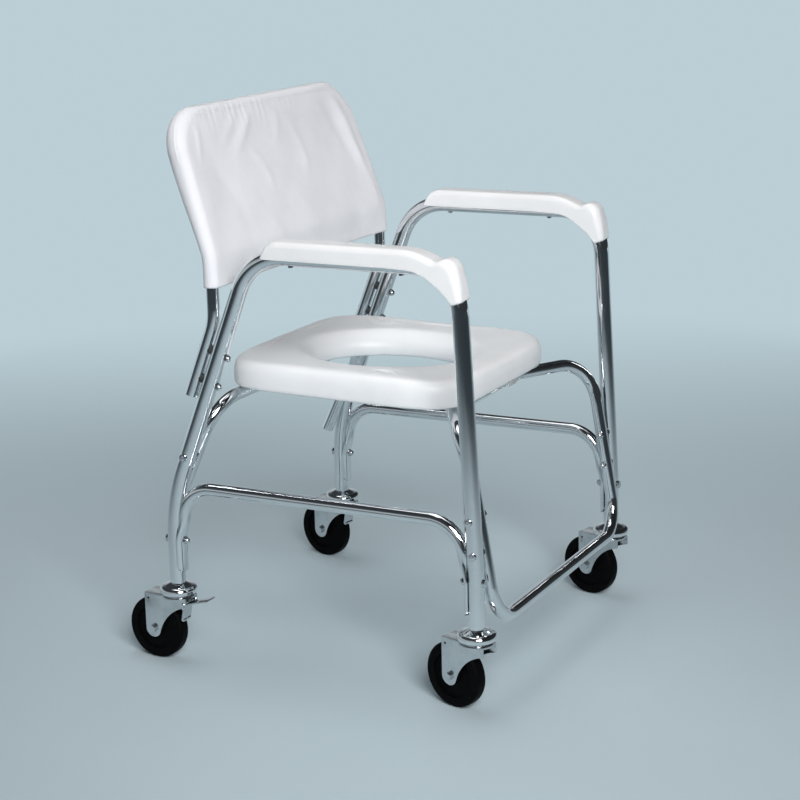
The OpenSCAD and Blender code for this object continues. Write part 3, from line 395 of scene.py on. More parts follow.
def fold_field(x, z, folds):
    """Sum of soft folds: each is its height times the bell of the distance from its line over its half
    width, times a bell that fades it out past its two ends."""
    f = np.array(folds)
    ax, az, bx, bz, wide, high = (f[:, k].reshape(-1, 1, 1) for k in range(6))
    length = np.hypot(bx - ax, bz - az)
    ux, uz = (bx - ax) / length, (bz - az) / length
    along = (x - ax) * ux + (z - az) * uz
    off = (x - ax) * uz - (z - az) * ux + FOLD_BOW * np.sin(along / length * math.pi)
    past = np.maximum(0, np.abs(along - length / 2) - length / FOLD_PART) / (length / FOLD_FADE)
    return (high * np.exp(-(off / wide) ** 2) * np.exp(-past ** 2)).sum(0)


GATHERS = ((0.0107, 0.0, 1.0, 1.4), (0.0171, 1.1, 0.6, 0.0))  # pitch, phase, share and pull of each wave
GATHER_DRIFT = 0.047  # pitch of the slower wave that pulls them
GATHER_SPOTS = ((-0.075, 0.085, 1.0), (0.075, 0.02, 0.35))  # middle, half width and share of each spot
GATHER_LEAST = 0.12  # share of the gathers that is left between the spots
GATHER_FALL = 0.034  # how far they reach down
GATHER_START = (0.0005, 0.005)  # depth below the top over which they set in
RIPPLES = ((0.0005, 31, 47, 0.0), (0.0004, 58, -39, 1.0))  # height, turn per metre of x and z, phase
FREE_CLOTH = (-0.004, 0.030)  # depth inside the tube over which the cloth comes free of it
SNUG_RISE = (-0.01, 0.09)  # heights over the knee between which the slack grows
LAYER_RISE = 3  # how steeply the folds of a layer grow from the sleeve's edge
DEPTH_LEAST = 4  # the cloth's thickness divided by this is the least half distance of the layers


def gather_field(x, z, t, top):
    """Small gathers hanging from the top: two waves across, the phase of one pulled by a slower wave,
    times bells across and down from the top."""
    pull = np.sin(TAU * x / GATHER_DRIFT)
    wave = sum(part * np.sin(TAU * x / pitch + phase + much * pull)
               for pitch, phase, part, much in GATHERS)
    across = GATHER_LEAST + sum(part * np.exp(-((x - at) / wide) ** 2) for at, wide, part in GATHER_SPOTS)
    depth = top - z
    down = smooth(*GATHER_START, depth) * np.exp(-(np.clip(depth, 0, None) / GATHER_FALL) ** 2)
    return t.gather * wave * across * down


def sleeve_layer(t, r, waist, n, m):
    """One face of the cloth on a grid of height and angle. Each ring is level: its half width follows the
    tube and its corners, and its depth the layers; folds and gathers move it along Y."""
    top = t.top_z + r - t.slack + t.over_top
    q = np.linspace(0, 1, m)[:, None]
    p = (np.arange(n) / n * TAU)[None, :]
    z = t.low_z + (top - t.low_z) * np.sin(math.pi / 2 * q) + 0 * p
    r = r - t.snug * (1 - smooth(*SNUG_RISE, z - t.knee_z))
    axis_y, axis_x = sleeve_axis(z, t)
    corner_x, corner_z, over = sleeve_corner(z, t)
    bend = t.corner_r + r
    bow = np.sqrt(np.clip(bend ** 2 - np.clip(over, 0, None) ** 2, 0, None)) / bend
    reach = sleeve_axis(np.array(corner_z), t)[1] - corner_x + r
    half = np.where(z <= corner_z, axis_x + r, corner_x + reach * bow)
    x = half * np.cos(p)
    depth, inside = sleeve_depth(np.abs(x), z, r, waist, t)
    depth = np.maximum(depth, t.cloth / DEPTH_LEAST)
    swing = np.sin(p)
    front, back = np.clip(-LAYER_RISE * swing, 0, 1), np.clip(LAYER_RISE * swing, 0, 1)
    side = np.where(np.abs(swing) < TINY, 0.0, np.sign(swing))
    free = smooth(*FREE_CLOTH, inside)
    stand = t.full * back * np.sin(math.pi * ((z - t.low_z) / (top - t.low_z)) ** 2)
    ripple = sum(high * np.sin(by_x * x + by_z * z + phase) for high, by_x, by_z, phase in RIPPLES)
    y = axis_y + side * depth + stand
    y -= front * (free * (t.folds * fold_field(x, z, FRONT_FOLDS) + ripple) + gather_field(x, z, t, top))
    y += back * (free * (t.folds * fold_field(x, z, BACK_FOLDS) - ripple) + gather_field(-x, z, t, top))
    return np.stack([x, y, z], -1)


HEM_STEP = 0.001  # half the length over which the hem's edge drops to the cloth
HEM_SHARE = 0.30  # what the hem adds, as a share of the cloth
SEAM_DEPTH = 0.0025  # the seam lies this far below the hem's edge
SEAM_HALF = 0.0009  # half width of its groove
SEAM_SHARE = 0.5  # depth of the groove, as a share of the cloth


def sleeve_mesh(s, t, n=360, m=120):
    """The sleeve as one closed skin: an outer and an inner layer, a lid strip along the top of each and a
    hem strip between them. The turned hem is a little thicker than the cloth, with a groove where it is
    sewn."""
    r = s.cross_r + t.slack
    outer = sleeve_layer(t, r + t.cloth, t.waist + t.cloth, n, m)
    inner = sleeve_layer(t, r, t.waist, n, m)
    thick = outer - inner
    rise = outer[..., 2] - t.low_z
    hem = 1 - smooth(t.hem - HEM_STEP, t.hem + HEM_STEP, rise)
    groove = np.exp(-((rise - t.hem + SEAM_DEPTH) / SEAM_HALF) ** 2)
    outer[..., :2] += thick[..., :2] * (HEM_SHARE * hem - SEAM_SHARE * groove)[..., None]
    points = np.concatenate([outer.reshape(-1, 3), inner.reshape(-1, 3)]) + np.array([0.0, -s.shift, 0.0])
    grid, ring = quads(m, n, True), n * m
    half = np.arange(1, n // 2 - 1)
    last = n * (m - 1)
    lid = np.stack([half, half + 1, n - half - 1, n - half], -1) + last
    i = np.arange(n)
    strip = np.stack([i, (i + 1) % n, ring + (i + 1) % n, ring + i], -1)
    faces = np.concatenate([grid, lid, grid[:, ::-1] + ring, lid[:, ::-1] + ring, strip[:, ::-1]])
    step = np.linalg.norm(np.roll(outer, -1, 1) - outer, axis=-1)
    u = np.cumsum(step[m // 2])[None, :] + np.zeros((m, 1))
    uv = np.stack([u, outer[..., 2]], -1).reshape(-1, 2)
    return points, faces, np.concatenate([uv, uv])


def oval(a, wx, wy, e):
    """Polar radius of the curve |x / wx|^e + |y / wy|^e = 1."""
    return 1 / ((np.abs(np.cos(a)) / wx) ** e + (np.abs(np.sin(a)) / wy) ** e) ** (1 / e)


SEAT_SECTION = (
    # share of the way from the opening's edge to the outer one, millimetres added to it, and height in
    # millimetres
    (0.0, 5, 0), (0.0, 12, 0), (0.5, 0, 0), (1.0, -14, 0), (1.0, -5, 0), (1.0, 0.2, 1.5), (1.0, 1.2, 10),
    (1.0, 1.4, 20), (1.0, 0.6, 31), (1.0, -2.5, 40.5), (1.0, -10, 45), (1.0, -20, 46), (1.0, -30, 45.6),
    (0.6, 12, 44.6), (0.5, 6, 43.9), (0.36, 9, 43.4), (0.0, 30, 42.6), (0.0, 23, 40.4), (0.0, 16, 36.0),
    (0.0, 9, 30.5), (0.0, 2.6, 24), (0.0, -0.6, 16), (0.0, -0.6, 8), (0.0, 1, 2))
MM = 0.001
SEAT_SQUARE, OPENING_SQUARE = 6, 2  # exponents of the outer edge and of the opening
UPPER_SKIN = (0.018, 0.036)  # heights over the base between which the skin's unevenness sets in
FRONT_PART = (0.62, 1.0)  # shares of the half length over which the front falls
SIDE_PART = (0.5, 1.0)  # shares of the half width over which the sides fall


def seat_mesh(s, t, n=560, steps=7):
    """Foam seat: a closed spline section on each ray from the opening to the outer edge. The section has
    a flat base, a slightly full side, a soft shoulder, a shallow dish and a ramp that rolls into the
    opening. The whole is turned by its slope about the rear bar."""
    a = np.arange(n) / n * TAU
    mid, half_l = (t.back - t.front) / 2, (t.back + t.front) / 2
    ray = np.stack([np.cos(a), np.sin(a)], -1)
    edge = oval(a, t.half_w, half_l, SEAT_SQUARE)[:, None] * ray
    hole = oval(a, t.hole_half_w, t.hole_half_l, OPENING_SQUARE)[:, None] * ray
    way = edge - hole
    wide = np.linalg.norm(way, axis=-1)
    way /= wide[:, None]
    part, extra, high = np.array(SEAT_SECTION).T
    across = wide[:, None] * part + extra * MM
    loop = spline_loop(np.stack([across, high * MM + 0 * across], -1), steps)
    place = hole[:, None, :] + way[:, None, :] * loop[..., :1]
    x, y = place[..., 0], place[..., 1]
    fall = t.front_fall * smooth(*FRONT_PART, -y / half_l)
    fall += t.side_fall * smooth(*SIDE_PART, np.abs(x) / t.half_w)
    upper = smooth(*UPPER_SKIN, loop[..., 1])
    up = np.clip(loop[..., 1], 0, None) + upper * (crease_field(x, mid + y) - fall)
    back = mid + y - t.pivot_y
    turned_y = t.pivot_y + back * math.cos(t.tilt) - up * math.sin(t.tilt)
    turned_z = t.low_z + back * math.sin(t.tilt) + up * math.cos(t.tilt)
    points = np.stack([x, turned_y - s.shift, turned_z], -1)
    k = points.shape[1]
    return points.reshape(-1, 3), quads(n + 1, k, True) % (n * k)


SEAT_CREASES = (
    # x and y of both ends, half width and height of the shallow marks in the skin
    (-0.146, -0.048, -0.170, -0.084, 0.0026, 0.0017),
    (-0.152, -0.042, -0.172, -0.070, 0.0024, -0.0015),
    (-0.142, -0.062, -0.160, -0.096, 0.0024, -0.0013),
    (-0.160, -0.034, -0.176, -0.052, 0.0024, 0.0011),
    (0.138, 0.084, 0.170, 0.132, 0.0028, 0.0018),
    (0.147, 0.082, 0.170, 0.114, 0.0026, -0.0014),
    (0.132, 0.098, 0.158, 0.136, 0.0026, -0.0014),
    (0.154, 0.074, 0.174, 0.096, 0.0024, 0.0010),
)
SEAT_WAVES = ((0.0004, 23, 11, 0.0), (0.0003, -17, 41, 0.7))  # height, turn per metre of x and y, phase


def crease_field(x, y):
    """Shallow marks in the skin, as soft folds in the seat's plane, with a slow unevenness of the foam
    under them: a sum of waves."""
    uneven = sum(high * np.sin(by_x * x + by_y * y + phase) for high, by_x, by_y, phase in SEAT_WAVES)
    return fold_field(x, y, SEAT_CREASES) + uneven


PAD_PROFILE = (
    # angle on the front bend in degrees; in mm the pad's top over the tube's centre line, the rounding of
    # its upper edges, its half width and how far its lower edge hangs below the centre line
    (-30, 25.0, 9.0, 21.0, 2.2), (-10, 25.0, 9.0, 21.0, 3.0), (0, 24.4, 9.0, 21.0, 3.5),
    (8, 22.9, 8.8, 21.0, 4.0), (16, 21.6, 8.5, 20.9, 4.4), (23, 21.0, 8.4, 20.8, 4.8),
    (28, 21.3, 8.6, 20.8, 5.2), (30.5, 24.6, 9.4, 20.8, 5.4), (33, 30.6, 11.0, 20.7, 5.5),
    (36, 35.2, 12.5, 20.6, 5.5), (40.5, 37.0, 13.5, 20.5, 5.4), (45, 36.0, 13.5, 20.4, 5.0),
    (52, 30.4, 13.5, 20.1, 3.7), (60, 24.8, 11.0, 19.8, 1.4), (68, 20.3, 9.0, 19.5, -1.2),
    (75, 17.3, 8.0, 19.3, -3.4), (90, 16.0, 8.0, 19.0, -5.0),
)
PAD_ENDS = (0.06, 0.04)  # shares of the pad's length at the rear and the front with closer stations
PAD_EASING = 9  # width of the window that smooths the profile, in quarter degrees
PAD_ANGLES = (-40, 90, 521)  # first and last angle of the smoothed profile, and how many
PAD_REACH = (-30, 85)  # angles within which it is read
BORE_SHARE = 0.72  # part of the channel's points that lie round the tube
SLOPE_REACH = 0.09  # length over which the rear end's slope fades
END_PART = 4  # an end has as many stations as the middle, divided by this
END_POWER = 1.5  # how much closer they get towards the end
PAD_SIDE = (0.15, 0.85)  # shares of the side's height between which its points lie
CROWN_RISE = (0.0, 0.6)  # shares of the height over which the crown sets in


def pad_stations(s, t, steps):
    """Stations along a pad, the straight arm from the rear end to the bend and then the bend: where the
    bend starts, and for each station its distance along the arm, its angle on the bend and its distance
    from both ends."""
    lean = math.pi / 2 + s.front_lean
    top_y = -s.half_span + (s.arm_z - s.front_knee_z) * math.tan(s.front_lean)
    bend_y = top_y + s.front_bend_r * math.tan(lean / 2)
    straight = t.rear_y - bend_y
    whole = straight + s.front_bend_r * t.wrap
    rear, front = PAD_ENDS
    few = steps // END_PART
    d = whole * np.concatenate([rear * np.linspace(0, 1, few, endpoint=False) ** END_POWER,
                                rear + (1 - rear - front) * np.linspace(0, 1, steps, endpoint=False),
                                1 - front * np.linspace(1, 0, few) ** END_POWER])
    return bend_y, np.minimum(d, straight), np.maximum(0, d - straight) / s.front_bend_r, d, whole - d


def draw_in(d, radius, most):
    """How far a quarter circle of the radius stands in from its tangent at the distance d from the end,
    up to most."""
    deep = np.clip(radius - d, 0, None)
    return np.minimum(most, radius - np.sqrt(np.clip(radius ** 2 - deep ** 2, 0, None)))


def pad_profile(degrees):
    """Top, edge rounding, half width and skirt of a pad at the angles: the listed values joined by
    straight lines and smoothed by a bell."""
    profile = np.array(PAD_PROFILE)
    kernel = np.hanning(PAD_EASING) / np.hanning(PAD_EASING).sum()
    fine = np.linspace(*PAD_ANGLES)
    lines = [np.interp(fine, profile[:, 0], column) for column in profile[:, 1:].T]
    at = np.clip(degrees, *PAD_REACH)
    return [np.interp(at, fine, np.convolve(line, kernel, "same")) * MM for line in lines]


def pad_outside(t, high, wide, edge, low, per, lips=5, sides=4, tops=12):
    """Outer contour of a pad at each station, as (x, w): a box with a lip at its lower edges, rounded
    upper edges and a crown of 1 - (x / half width)^2."""
    q = np.linspace(0, math.pi / 2, per)[None, :]
    turn_in = np.linspace(0, math.pi / 2, lips)[None, :]
    x_low, z_low = -wide + t.lip * (1 - np.sin(turn_in)), low + t.lip * (1 - np.cos(turn_in))
    z_side = np.linspace(*PAD_SIDE, sides)[None, :] * (high - edge - low - t.lip) + low + t.lip
    x_arc, z_arc = -wide + edge * (1 - np.cos(q)), high - edge * (1 - np.sin(q))
    x_top = (-wide + edge) + np.linspace(0, 1, tops)[None, 1:-1] * 2 * (wide - edge)
    x_half = np.concatenate([x_low, np.repeat(-wide, sides, 1), x_arc], 1)
    z_half = np.concatenate([z_low, z_side, z_arc], 1)
    x = np.concatenate([x_half, x_top, -x_half[:, ::-1]], 1)
    z = np.concatenate([z_half, high + 0 * x_top, z_half[:, ::-1]], 1)
    crown = t.crown * (1 - np.clip(x / wide, -1, 1) ** 2)
    return x, z + crown * smooth(*CROWN_RISE, (z - low) / (high - low))


def pad_mesh(s, t, side, steps=110, per=14):
    """An arm pad: a channel section, outer contour and inner channel with as many points each, carried
    along the arm and round the bend. Its height is taken from the profile; near both ends it draws in
    along a quarter circle. The rear end slopes with the height."""
    bend_y, along, phi, to_rear, to_front = pad_stations(s, t, steps)
    before = np.maximum(0, (t.rear_y - bend_y) - along) / s.front_bend_r
    high, edge, wide, skirt = pad_profile(np.degrees(phi - before))
    front_in = draw_in(to_front, t.front_round, t.front_round)
    high = (high - front_in - draw_in(to_rear, t.rear_round, t.rear_share * t.rear_round))[:, None]
    wide = (wide - front_in - draw_in(to_rear, t.side_round, t.rear_share * t.side_round))[:, None]
    edge = np.minimum(edge[:, None], wide - t.top_least)
    low = -skirt[:, None]
    x_out, z_out = pad_outside(t, high, wide, edge, low, per)
    count = x_out.shape[1]
    bore = s.main_r + t.fit
    u = np.linspace(-1, 1, count)[None, :]
    arc = np.clip(u / BORE_SHARE, -1, 1) * np.arccos(np.clip(low / bore, 0, 1))
    drop = np.minimum(0, BORE_SHARE - np.abs(u)) / (1 - BORE_SHARE)
    x = np.concatenate([x_out, (bore * np.sin(arc))[:, ::-1]], 1)
    w = np.concatenate([z_out, (bore * np.cos(arc) + drop * np.clip(-low, 0, None))[:, ::-1]], 1)
    rows, cols = x.shape
    slope = (1 - smooth(0.0, SLOPE_REACH, to_rear))[:, None] / math.tan(t.end_slope)
    straight_y = (t.rear_y - along)[:, None] + slope * (t.top - w)
    turned, out = phi[:, None], s.front_bend_r + w
    y = np.where(turned > 0, bend_y - out * np.sin(turned), straight_y)
    z = np.where(turned > 0, s.arm_z - s.front_bend_r + out * np.cos(turned), s.arm_z + w)
    points = np.stack([side * s.half_w + x, y - s.shift, z], -1).reshape(-1, 3)
    i = np.arange(count - 1)
    cap = np.stack([i, i + 1, cols - 2 - i, cols - 1 - i], -1)
    faces = np.concatenate([quads(rows, cols, True), cap[:, ::-1], cap + (rows - 1) * cols])
    return points, faces


# finishes

NUMBER, COLOUR = "NodeSocketFloat", "NodeSocketColor"
WHITE = (1.0, 1.0, 1.0, 1.0)


def node_group(name, inputs, outputs):
    """An empty shader node group with its named sockets."""
    tree = bpy.data.node_groups.new(name, "ShaderNodeTree")
    for label, kind, default in inputs:
        socket = tree.interface.new_socket(label, in_out="INPUT", socket_type=kind)
        socket.default_value = default
    for label, kind in outputs:
        tree.interface.new_socket(label, in_out="OUTPUT", socket_type=kind)
    return tree, tree.nodes.new("NodeGroupInput"), tree.nodes.new("NodeGroupOutput")


def feed(tree, value, socket):
    """Links a socket to another node's output, or sets it to a number or a colour."""
    if isinstance(value, bpy.types.NodeSocket):
        tree.links.new(value, socket)
    else:
        socket.default_value = value


def feed_all(tree, node, **values):
    """Feeds the inputs of a node by their labels, with _ for a space."""
    for label, value in values.items():
        feed(tree, value, node.inputs[label.replace("_", " ")])


def math_node(tree, how, *values):
    """A Math node; the values are sockets or numbers."""
    n = tree.nodes.new("ShaderNodeMath")
    n.operation = how
    for value, socket in zip(values, n.inputs):
        feed(tree, value, socket)
    return n.outputs[0]


def product(tree, a, b):
    """A Math node that multiplies."""
    return math_node(tree, "MULTIPLY", a, b)


def noise(tree, vector, scale, detail, rough=0.5):
    """A noise texture's value on the given coordinates."""
    n = tree.nodes.new("ShaderNodeTexNoise")
    feed_all(tree, n, Vector=vector, Scale=scale, Detail=detail, Roughness=rough)
    return n.outputs["Fac"]


def between(tree, value, span, low, high, how="SMOOTHSTEP"):
    """A Map Range node from the span to low..high."""
    n = tree.nodes.new("ShaderNodeMapRange")
    n.interpolation_type = how
    feed_all(tree, n, Value=value, From_Min=span[0], From_Max=span[1], To_Min=low, To_Max=high)
    return n.outputs["Result"]


def mixed(tree, mask, a, b):
    """Colour a where the mask is 0 and b where it is 1."""
    n = tree.nodes.new("ShaderNodeMix")
    n.data_type = "RGBA"
    for k, value in ((0, mask), (6, a), (7, b)):
        feed(tree, value, n.inputs[k])
    return n.outputs[2]


def mixed_shaders(tree, mask, a, b, end):
    """Joins shader a where the mask is 0 and b where it is 1, and sends them to the surface of the end."""
    n = tree.nodes.new("ShaderNodeMixShader")
    for value, socket in zip((mask, a, b), n.inputs):
        tree.links.new(value, socket)
    tree.links.new(n.outputs[0], tree.nodes[end].inputs["Surface"])


def object_coordinates(tree):
    """Coordinates in metres, which stay with the object."""
    return tree.nodes.new("ShaderNodeTexCoord").outputs["Object"]


HAZE, SPOTS = (0.50, 0.78), (0.70, 0.76)  # spans of the noises over which each mask rises
PATCHES, SPECKS = (0.40, 0.72), (0.48, 0.75)
SPOT_SCALE, SPOT_SHARE = 260.0, 0.6  # how close the water spots lie, and how much they add to the haze
SPECK_SCALE = 140.0  # how close the speckles of dust lie
SLUB_STRETCH, SLUB_SHARE = (900.0, 25.0, 1.0), 0.4  # scale of the slubs, and their part of the height


def make_water_marks():
    """Roughness of a surface: a broad haze of dried water with a few small spots in it."""
    tree, i, o = node_group("water_marks", [("Clean", NUMBER, 0.05), ("Hazy", NUMBER, 0.2),
                                            ("Scale", NUMBER, 9.0)], [("Roughness", NUMBER)])
    at = object_coordinates(tree)
    haze = between(tree, noise(tree, at, i.outputs["Scale"], detail=4.0, rough=0.6), HAZE, 0.0, 1.0)
    spots = between(tree, noise(tree, at, SPOT_SCALE, detail=1.0), SPOTS, 0.0, SPOT_SHARE)
    amount = math_node(tree, "MINIMUM", math_node(tree, "ADD", haze, spots), 1.0)
    rough = between(tree, amount, (0.0, 1.0), i.outputs["Clean"], i.outputs["Hazy"], "LINEAR")
    feed_all(tree, o, Roughness=rough)


def make_grain():
    """Height of a moulded or leathery skin: fine pores in a softer, larger unevenness."""
    tree, i, o = node_group("skin_grain", [("Pores", NUMBER, 900.0), ("Waves", NUMBER, 60.0),
                                           ("Wave share", NUMBER, 0.5)], [("Height", NUMBER)])
    at = object_coordinates(tree)
    pores, waves = (noise(tree, at, i.outputs[label], detail=2.0) for label in ("Pores", "Waves"))
    feed_all(tree, o, Height=math_node(tree, "ADD", pores, product(tree, waves, i.outputs["Wave share"])))


def make_tone():
    """A colour that drifts between two tones in broad soft patches."""
    tree, i, o = node_group("tone_drift", [("Tone", COLOUR, WHITE), ("Other", COLOUR, WHITE),
                                           ("Scale", NUMBER, 6.0)], [("Color", COLOUR)])
    patches = noise(tree, object_coordinates(tree), i.outputs["Scale"], detail=5.0, rough=0.62)
    mask = between(tree, patches, PATCHES, 0.0, 1.0)
    feed_all(tree, o, Color=mixed(tree, mask, i.outputs["Tone"], i.outputs["Other"]))


def make_weave():
    """Height of a plain weave from a UV map in metres: the larger of two waves that pass over each other,
    the warp lifted on every other thread, with slubs from a stretched noise."""
    tree, i, o = node_group("plain_weave", [("Threads", NUMBER, 1100.0)],
                            [("Height", NUMBER), ("Slub", NUMBER)])
    uv = tree.nodes.new("ShaderNodeUVMap")
    uv.uv_map = "UVMap"
    parts = tree.nodes.new("ShaderNodeSeparateXYZ")
    tree.links.new(uv.outputs["UV"], parts.inputs[0])
    turns = product(tree, i.outputs["Threads"], math.pi)
    u, v = (product(tree, parts.outputs[way], turns) for way in "XY")
    over = product(tree, product(tree, math_node(tree, "SINE", u), math_node(tree, "SINE", v)), 0.5)
    warp, weft = (math_node(tree, "ABSOLUTE", math_node(tree, "COSINE", way)) for way in (u, v))
    warp = product(tree, warp, math_node(tree, "ADD", 0.5, over))
    weft = product(tree, weft, math_node(tree, "SUBTRACT", 0.5, over))
    stretch = tree.nodes.new("ShaderNodeMapping")
    feed_all(tree, stretch, Vector=uv.outputs["UV"], Scale=SLUB_STRETCH)
    slub = noise(tree, stretch.outputs["Vector"], 1.0, detail=2.0)
    threads = math_node(tree, "MAXIMUM", warp, weft)
    feed_all(tree, o, Height=math_node(tree, "ADD", threads, product(tree, slub, SLUB_SHARE)), Slub=slub)


def make_dust():
    """Where dust and scuffs lie: speckles, up to the given amount."""
    tree, i, o = node_group("floor_dust", [("Amount", NUMBER, 0.3)], [("Mask", NUMBER)])
    speck = noise(tree, object_coordinates(tree), SPECK_SCALE, detail=6.0, rough=0.7)
    mask = between(tree, speck, SPECKS, 0.0, 1.0)
    feed_all(tree, o, Mask=product(tree, mask, i.outputs["Amount"]))


class Finish:
    """A material under construction: its Principled BSDF and short ways to place groups and a bump."""

    def __init__(self, name, **sockets):
        packed = bpy.data.materials.get(name)
        if packed:
            packed.name = name + "_packed"
        self.material = bpy.data.materials.new(name)
        self.material.use_nodes = True
        self.tree = self.material.node_tree
        self.bsdf = self.tree.nodes["Principled BSDF"]
        self.set(**sockets)

    def set(self, **sockets):
        """Feeds the Principled BSDF."""
        feed_all(self.tree, self.bsdf, **sockets)

    def place(self, group, **values):
        """A node group with its inputs set."""
        n = self.tree.nodes.new("ShaderNodeGroup")
        n.node_tree = bpy.data.node_groups[group]
        feed_all(self.tree, n, **values)
        return n.outputs

    def bump(self, height, distance, strength):
        """Bends the surface's normals by a height, with the given depth and strength."""
        n = self.tree.nodes.new("ShaderNodeBump")
        feed_all(self.tree, n, Height=height, Distance=distance, Strength=strength)
        self.set(Normal=n.outputs["Normal"])

    def drift(self, colour, other_share, scale):
        """A colour that drifts towards a share of itself."""
        return self.place("tone_drift", Tone=rgba(colour), Other=rgba(colour, other_share), Scale=scale)[0]

    def worn(self, clean, hazy, scale):
        """Roughness between that of clean and of hazy spots."""
        self.set(Roughness=self.place("water_marks", Clean=clean, Hazy=hazy, Scale=scale)[0])

    def grained(self, distance, strength, pores, waves, wave_share):
        """Bump of a moulded or plated skin."""
        grain = self.place("skin_grain", Pores=pores, Waves=waves, Wave_share=wave_share)
        self.bump(grain[0], distance, strength)


def rgba(c, k=1.0):
    """A share of a colour, opaque."""
    return (c[0] * k, c[1] * k, c[2] * k, 1.0)


FINISHES = {
    # colour, the share of it to which it drifts and the scale of its patches; roughness of clean and of
    # hazy spots and their scale; depth and strength of the grain, scale of its pores and of its waves, and
    # the waves' share
    "chrome_tube": (("chrome", 0.93, 7.0), (0.045, 0.13, 8.0), (0.00002, 0.35, 420.0, 40.0, 1.5)),
    "zinc_steel": (("zinc", 0.82, 38.0), (0.15, 0.30, 46.0), (0.00004, 0.4, 1600.0, 160.0, 0.6)),
    "pad_plastic": (("pad", 0.965, 11.0), (0.30, 0.40, 18.0), (0.00006, 0.45, 1500.0, 110.0, 0.9)),
    "seat_skin": (("foam", 0.95, 9.0), (0.34, 0.46, 16.0), (0.00016, 0.5, 1100.0, 55.0, 1.6)),
    "clip_plastic": (("clip", 0.93, 40.0), (0.45, 0.55, 40.0), (0.00006, 0.5, 1500.0, 60.0, 0.5)),
    "spacer_plastic": (("spacer", 1.5, 60.0), (0.45, 0.6, 60.0), (0.00006, 0.5, 1500.0, 60.0, 0.5)),
}
SURFACE = {
    # what else the surface has
    "chrome_tube": {"Metallic": 1.0},
    "zinc_steel": {"Metallic": 1.0},
    "pad_plastic": {"Coat_Weight": 0.12, "Coat_Roughness": 0.18},
    "seat_skin": {"Sheen_Weight": 0.08, "Sheen_Roughness": 0.4,
                  "Coat_Weight": 0.10, "Coat_Roughness": 0.3},
    "wheel_rubber": {"Specular_IOR_Level": 0.02},
    "sleeve_cloth": {"Sheen_Weight": 0.22, "Sheen_Roughness": 0.5, "Specular_IOR_Level": 0.3},
}
WHEEL_DUST, WHEEL_WEAR, WHEEL_GRAIN = 0.03, (0.40, 0.58, 30.0), (0.00008, 0.5, 1300.0, 120.0, 0.8)
CLOTH_DRIFT, CLOTH_WEAR = (0.955, 12.0), (0.78, 0.88, 20.0)
THREADS, WEAVE_RELIEF = 1250.0, (0.00022, 0.7)  # threads per metre, depth and strength of the weave
SLUB_SPAN, SLUB_MOST, SLUB_TONE = (0.45, 0.75), 0.35, 0.90  # where slubs show, how much, and their tone


def make_finishes(c):
    """All the chair's materials, by the record's slot names: the plain ones from the table, then the
    wheels with their dust and the sleeve with its weave."""
    for slot, (tone, rough, grain) in FINISHES.items():
        f = Finish(slot, **SURFACE.get(slot, {}))
        colour, *drift = tone
        f.set(Base_Color=f.drift(getattr(c, colour), *drift))
        f.worn(*rough)
        f.grained(*grain)

    f = Finish("wheel_rubber", **SURFACE["wheel_rubber"])
    dust = f.place("floor_dust", Amount=WHEEL_DUST)
    f.set(Base_Color=mixed(f.tree, dust[0], rgba(c.rubber), rgba(c.dust)))
    f.worn(*WHEEL_WEAR)
    f.grained(*WHEEL_GRAIN)

    f = Finish("sleeve_cloth", **SURFACE["sleeve_cloth"])
    weave = f.place("plain_weave", Threads=THREADS)
    slubs = between(f.tree, weave["Slub"], SLUB_SPAN, 0.0, SLUB_MOST)
    cloth = f.drift(c.cloth, *CLOTH_DRIFT)
    f.set(Base_Color=mixed(f.tree, slubs, cloth, rgba(c.cloth, SLUB_TONE)))
    f.worn(*CLOTH_WEAR)
    f.bump(weave["Height"], *WEAVE_RELIEF)


def settings(name):
    """A group of settings of the scene."""
    return getattr(bpy.context.scene, name)


def dress(piece, slot, *nodes):
    """Gives a new piece its finish and its body, and hides the packed nodes that it stands for."""
    piece.data.materials.append(bpy.data.materials[slot])
    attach(piece, CHAIR)
    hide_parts(*nodes)
    return piece


WELD_GAP = 2e-5  # points of packed nodes that lie closer are one
BEVEL_ANGLE, SPLIT_ANGLE = 50, 38  # edges sharper than these, in degrees, are broken or split
PRESSED_EDGE, EDGE_STEPS = 0.0006, 2  # width and steps of the broken edges of pressed steel


def ease_node(node, bevel=0.0):
    """Smooth shading for a packed node: its loose triangles are welded, sharp edges split, and where
    bevel is given they are broken by that width."""
    o = frame["nodes"][node]
    o.data.polygons.foreach_set("use_smooth", np.ones(len(o.data.polygons), bool))
    weld = o.modifiers.new("weld", "WELD")
    weld.merge_threshold = WELD_GAP
    if bevel:
        b = o.modifiers.new("edge", "BEVEL")
        b.width, b.segments = bevel, EDGE_STEPS
        b.limit_method, b.angle_limit = "ANGLE", math.radians(BEVEL_ANGLE)
        b.use_clamp_overlap = True
    split = o.modifiers.new("split", "EDGE_SPLIT")
    split.split_angle = math.radians(SPLIT_ANGLE)
    split.use_edge_sharp = False


def paint_node(node, slot):
    """Gives a packed node its finish."""
    o = frame["nodes"][node]
    o.data.materials.clear()
    o.data.materials.append(bpy.data.materials[slot])


SLOT_OF = {p["node"]: p["material_slot"] for p in frame["record"]["subparts"]}


# operators

class CHAIR_OT_finishes(bpy.types.Operator):
    """Makes the node groups and the materials, and gives every packed node its finish"""
    bl_idname = "chair.finishes"
    bl_label = "Finishes"

    def execute(self, context):
        for make in (make_water_marks, make_grain, make_tone, make_weave, make_dust):
            make()
        make_finishes(settings("chair_colours"))
        for node, slot in SLOT_OF.items():
            paint_node(node, slot)
        return {"FINISHED"}


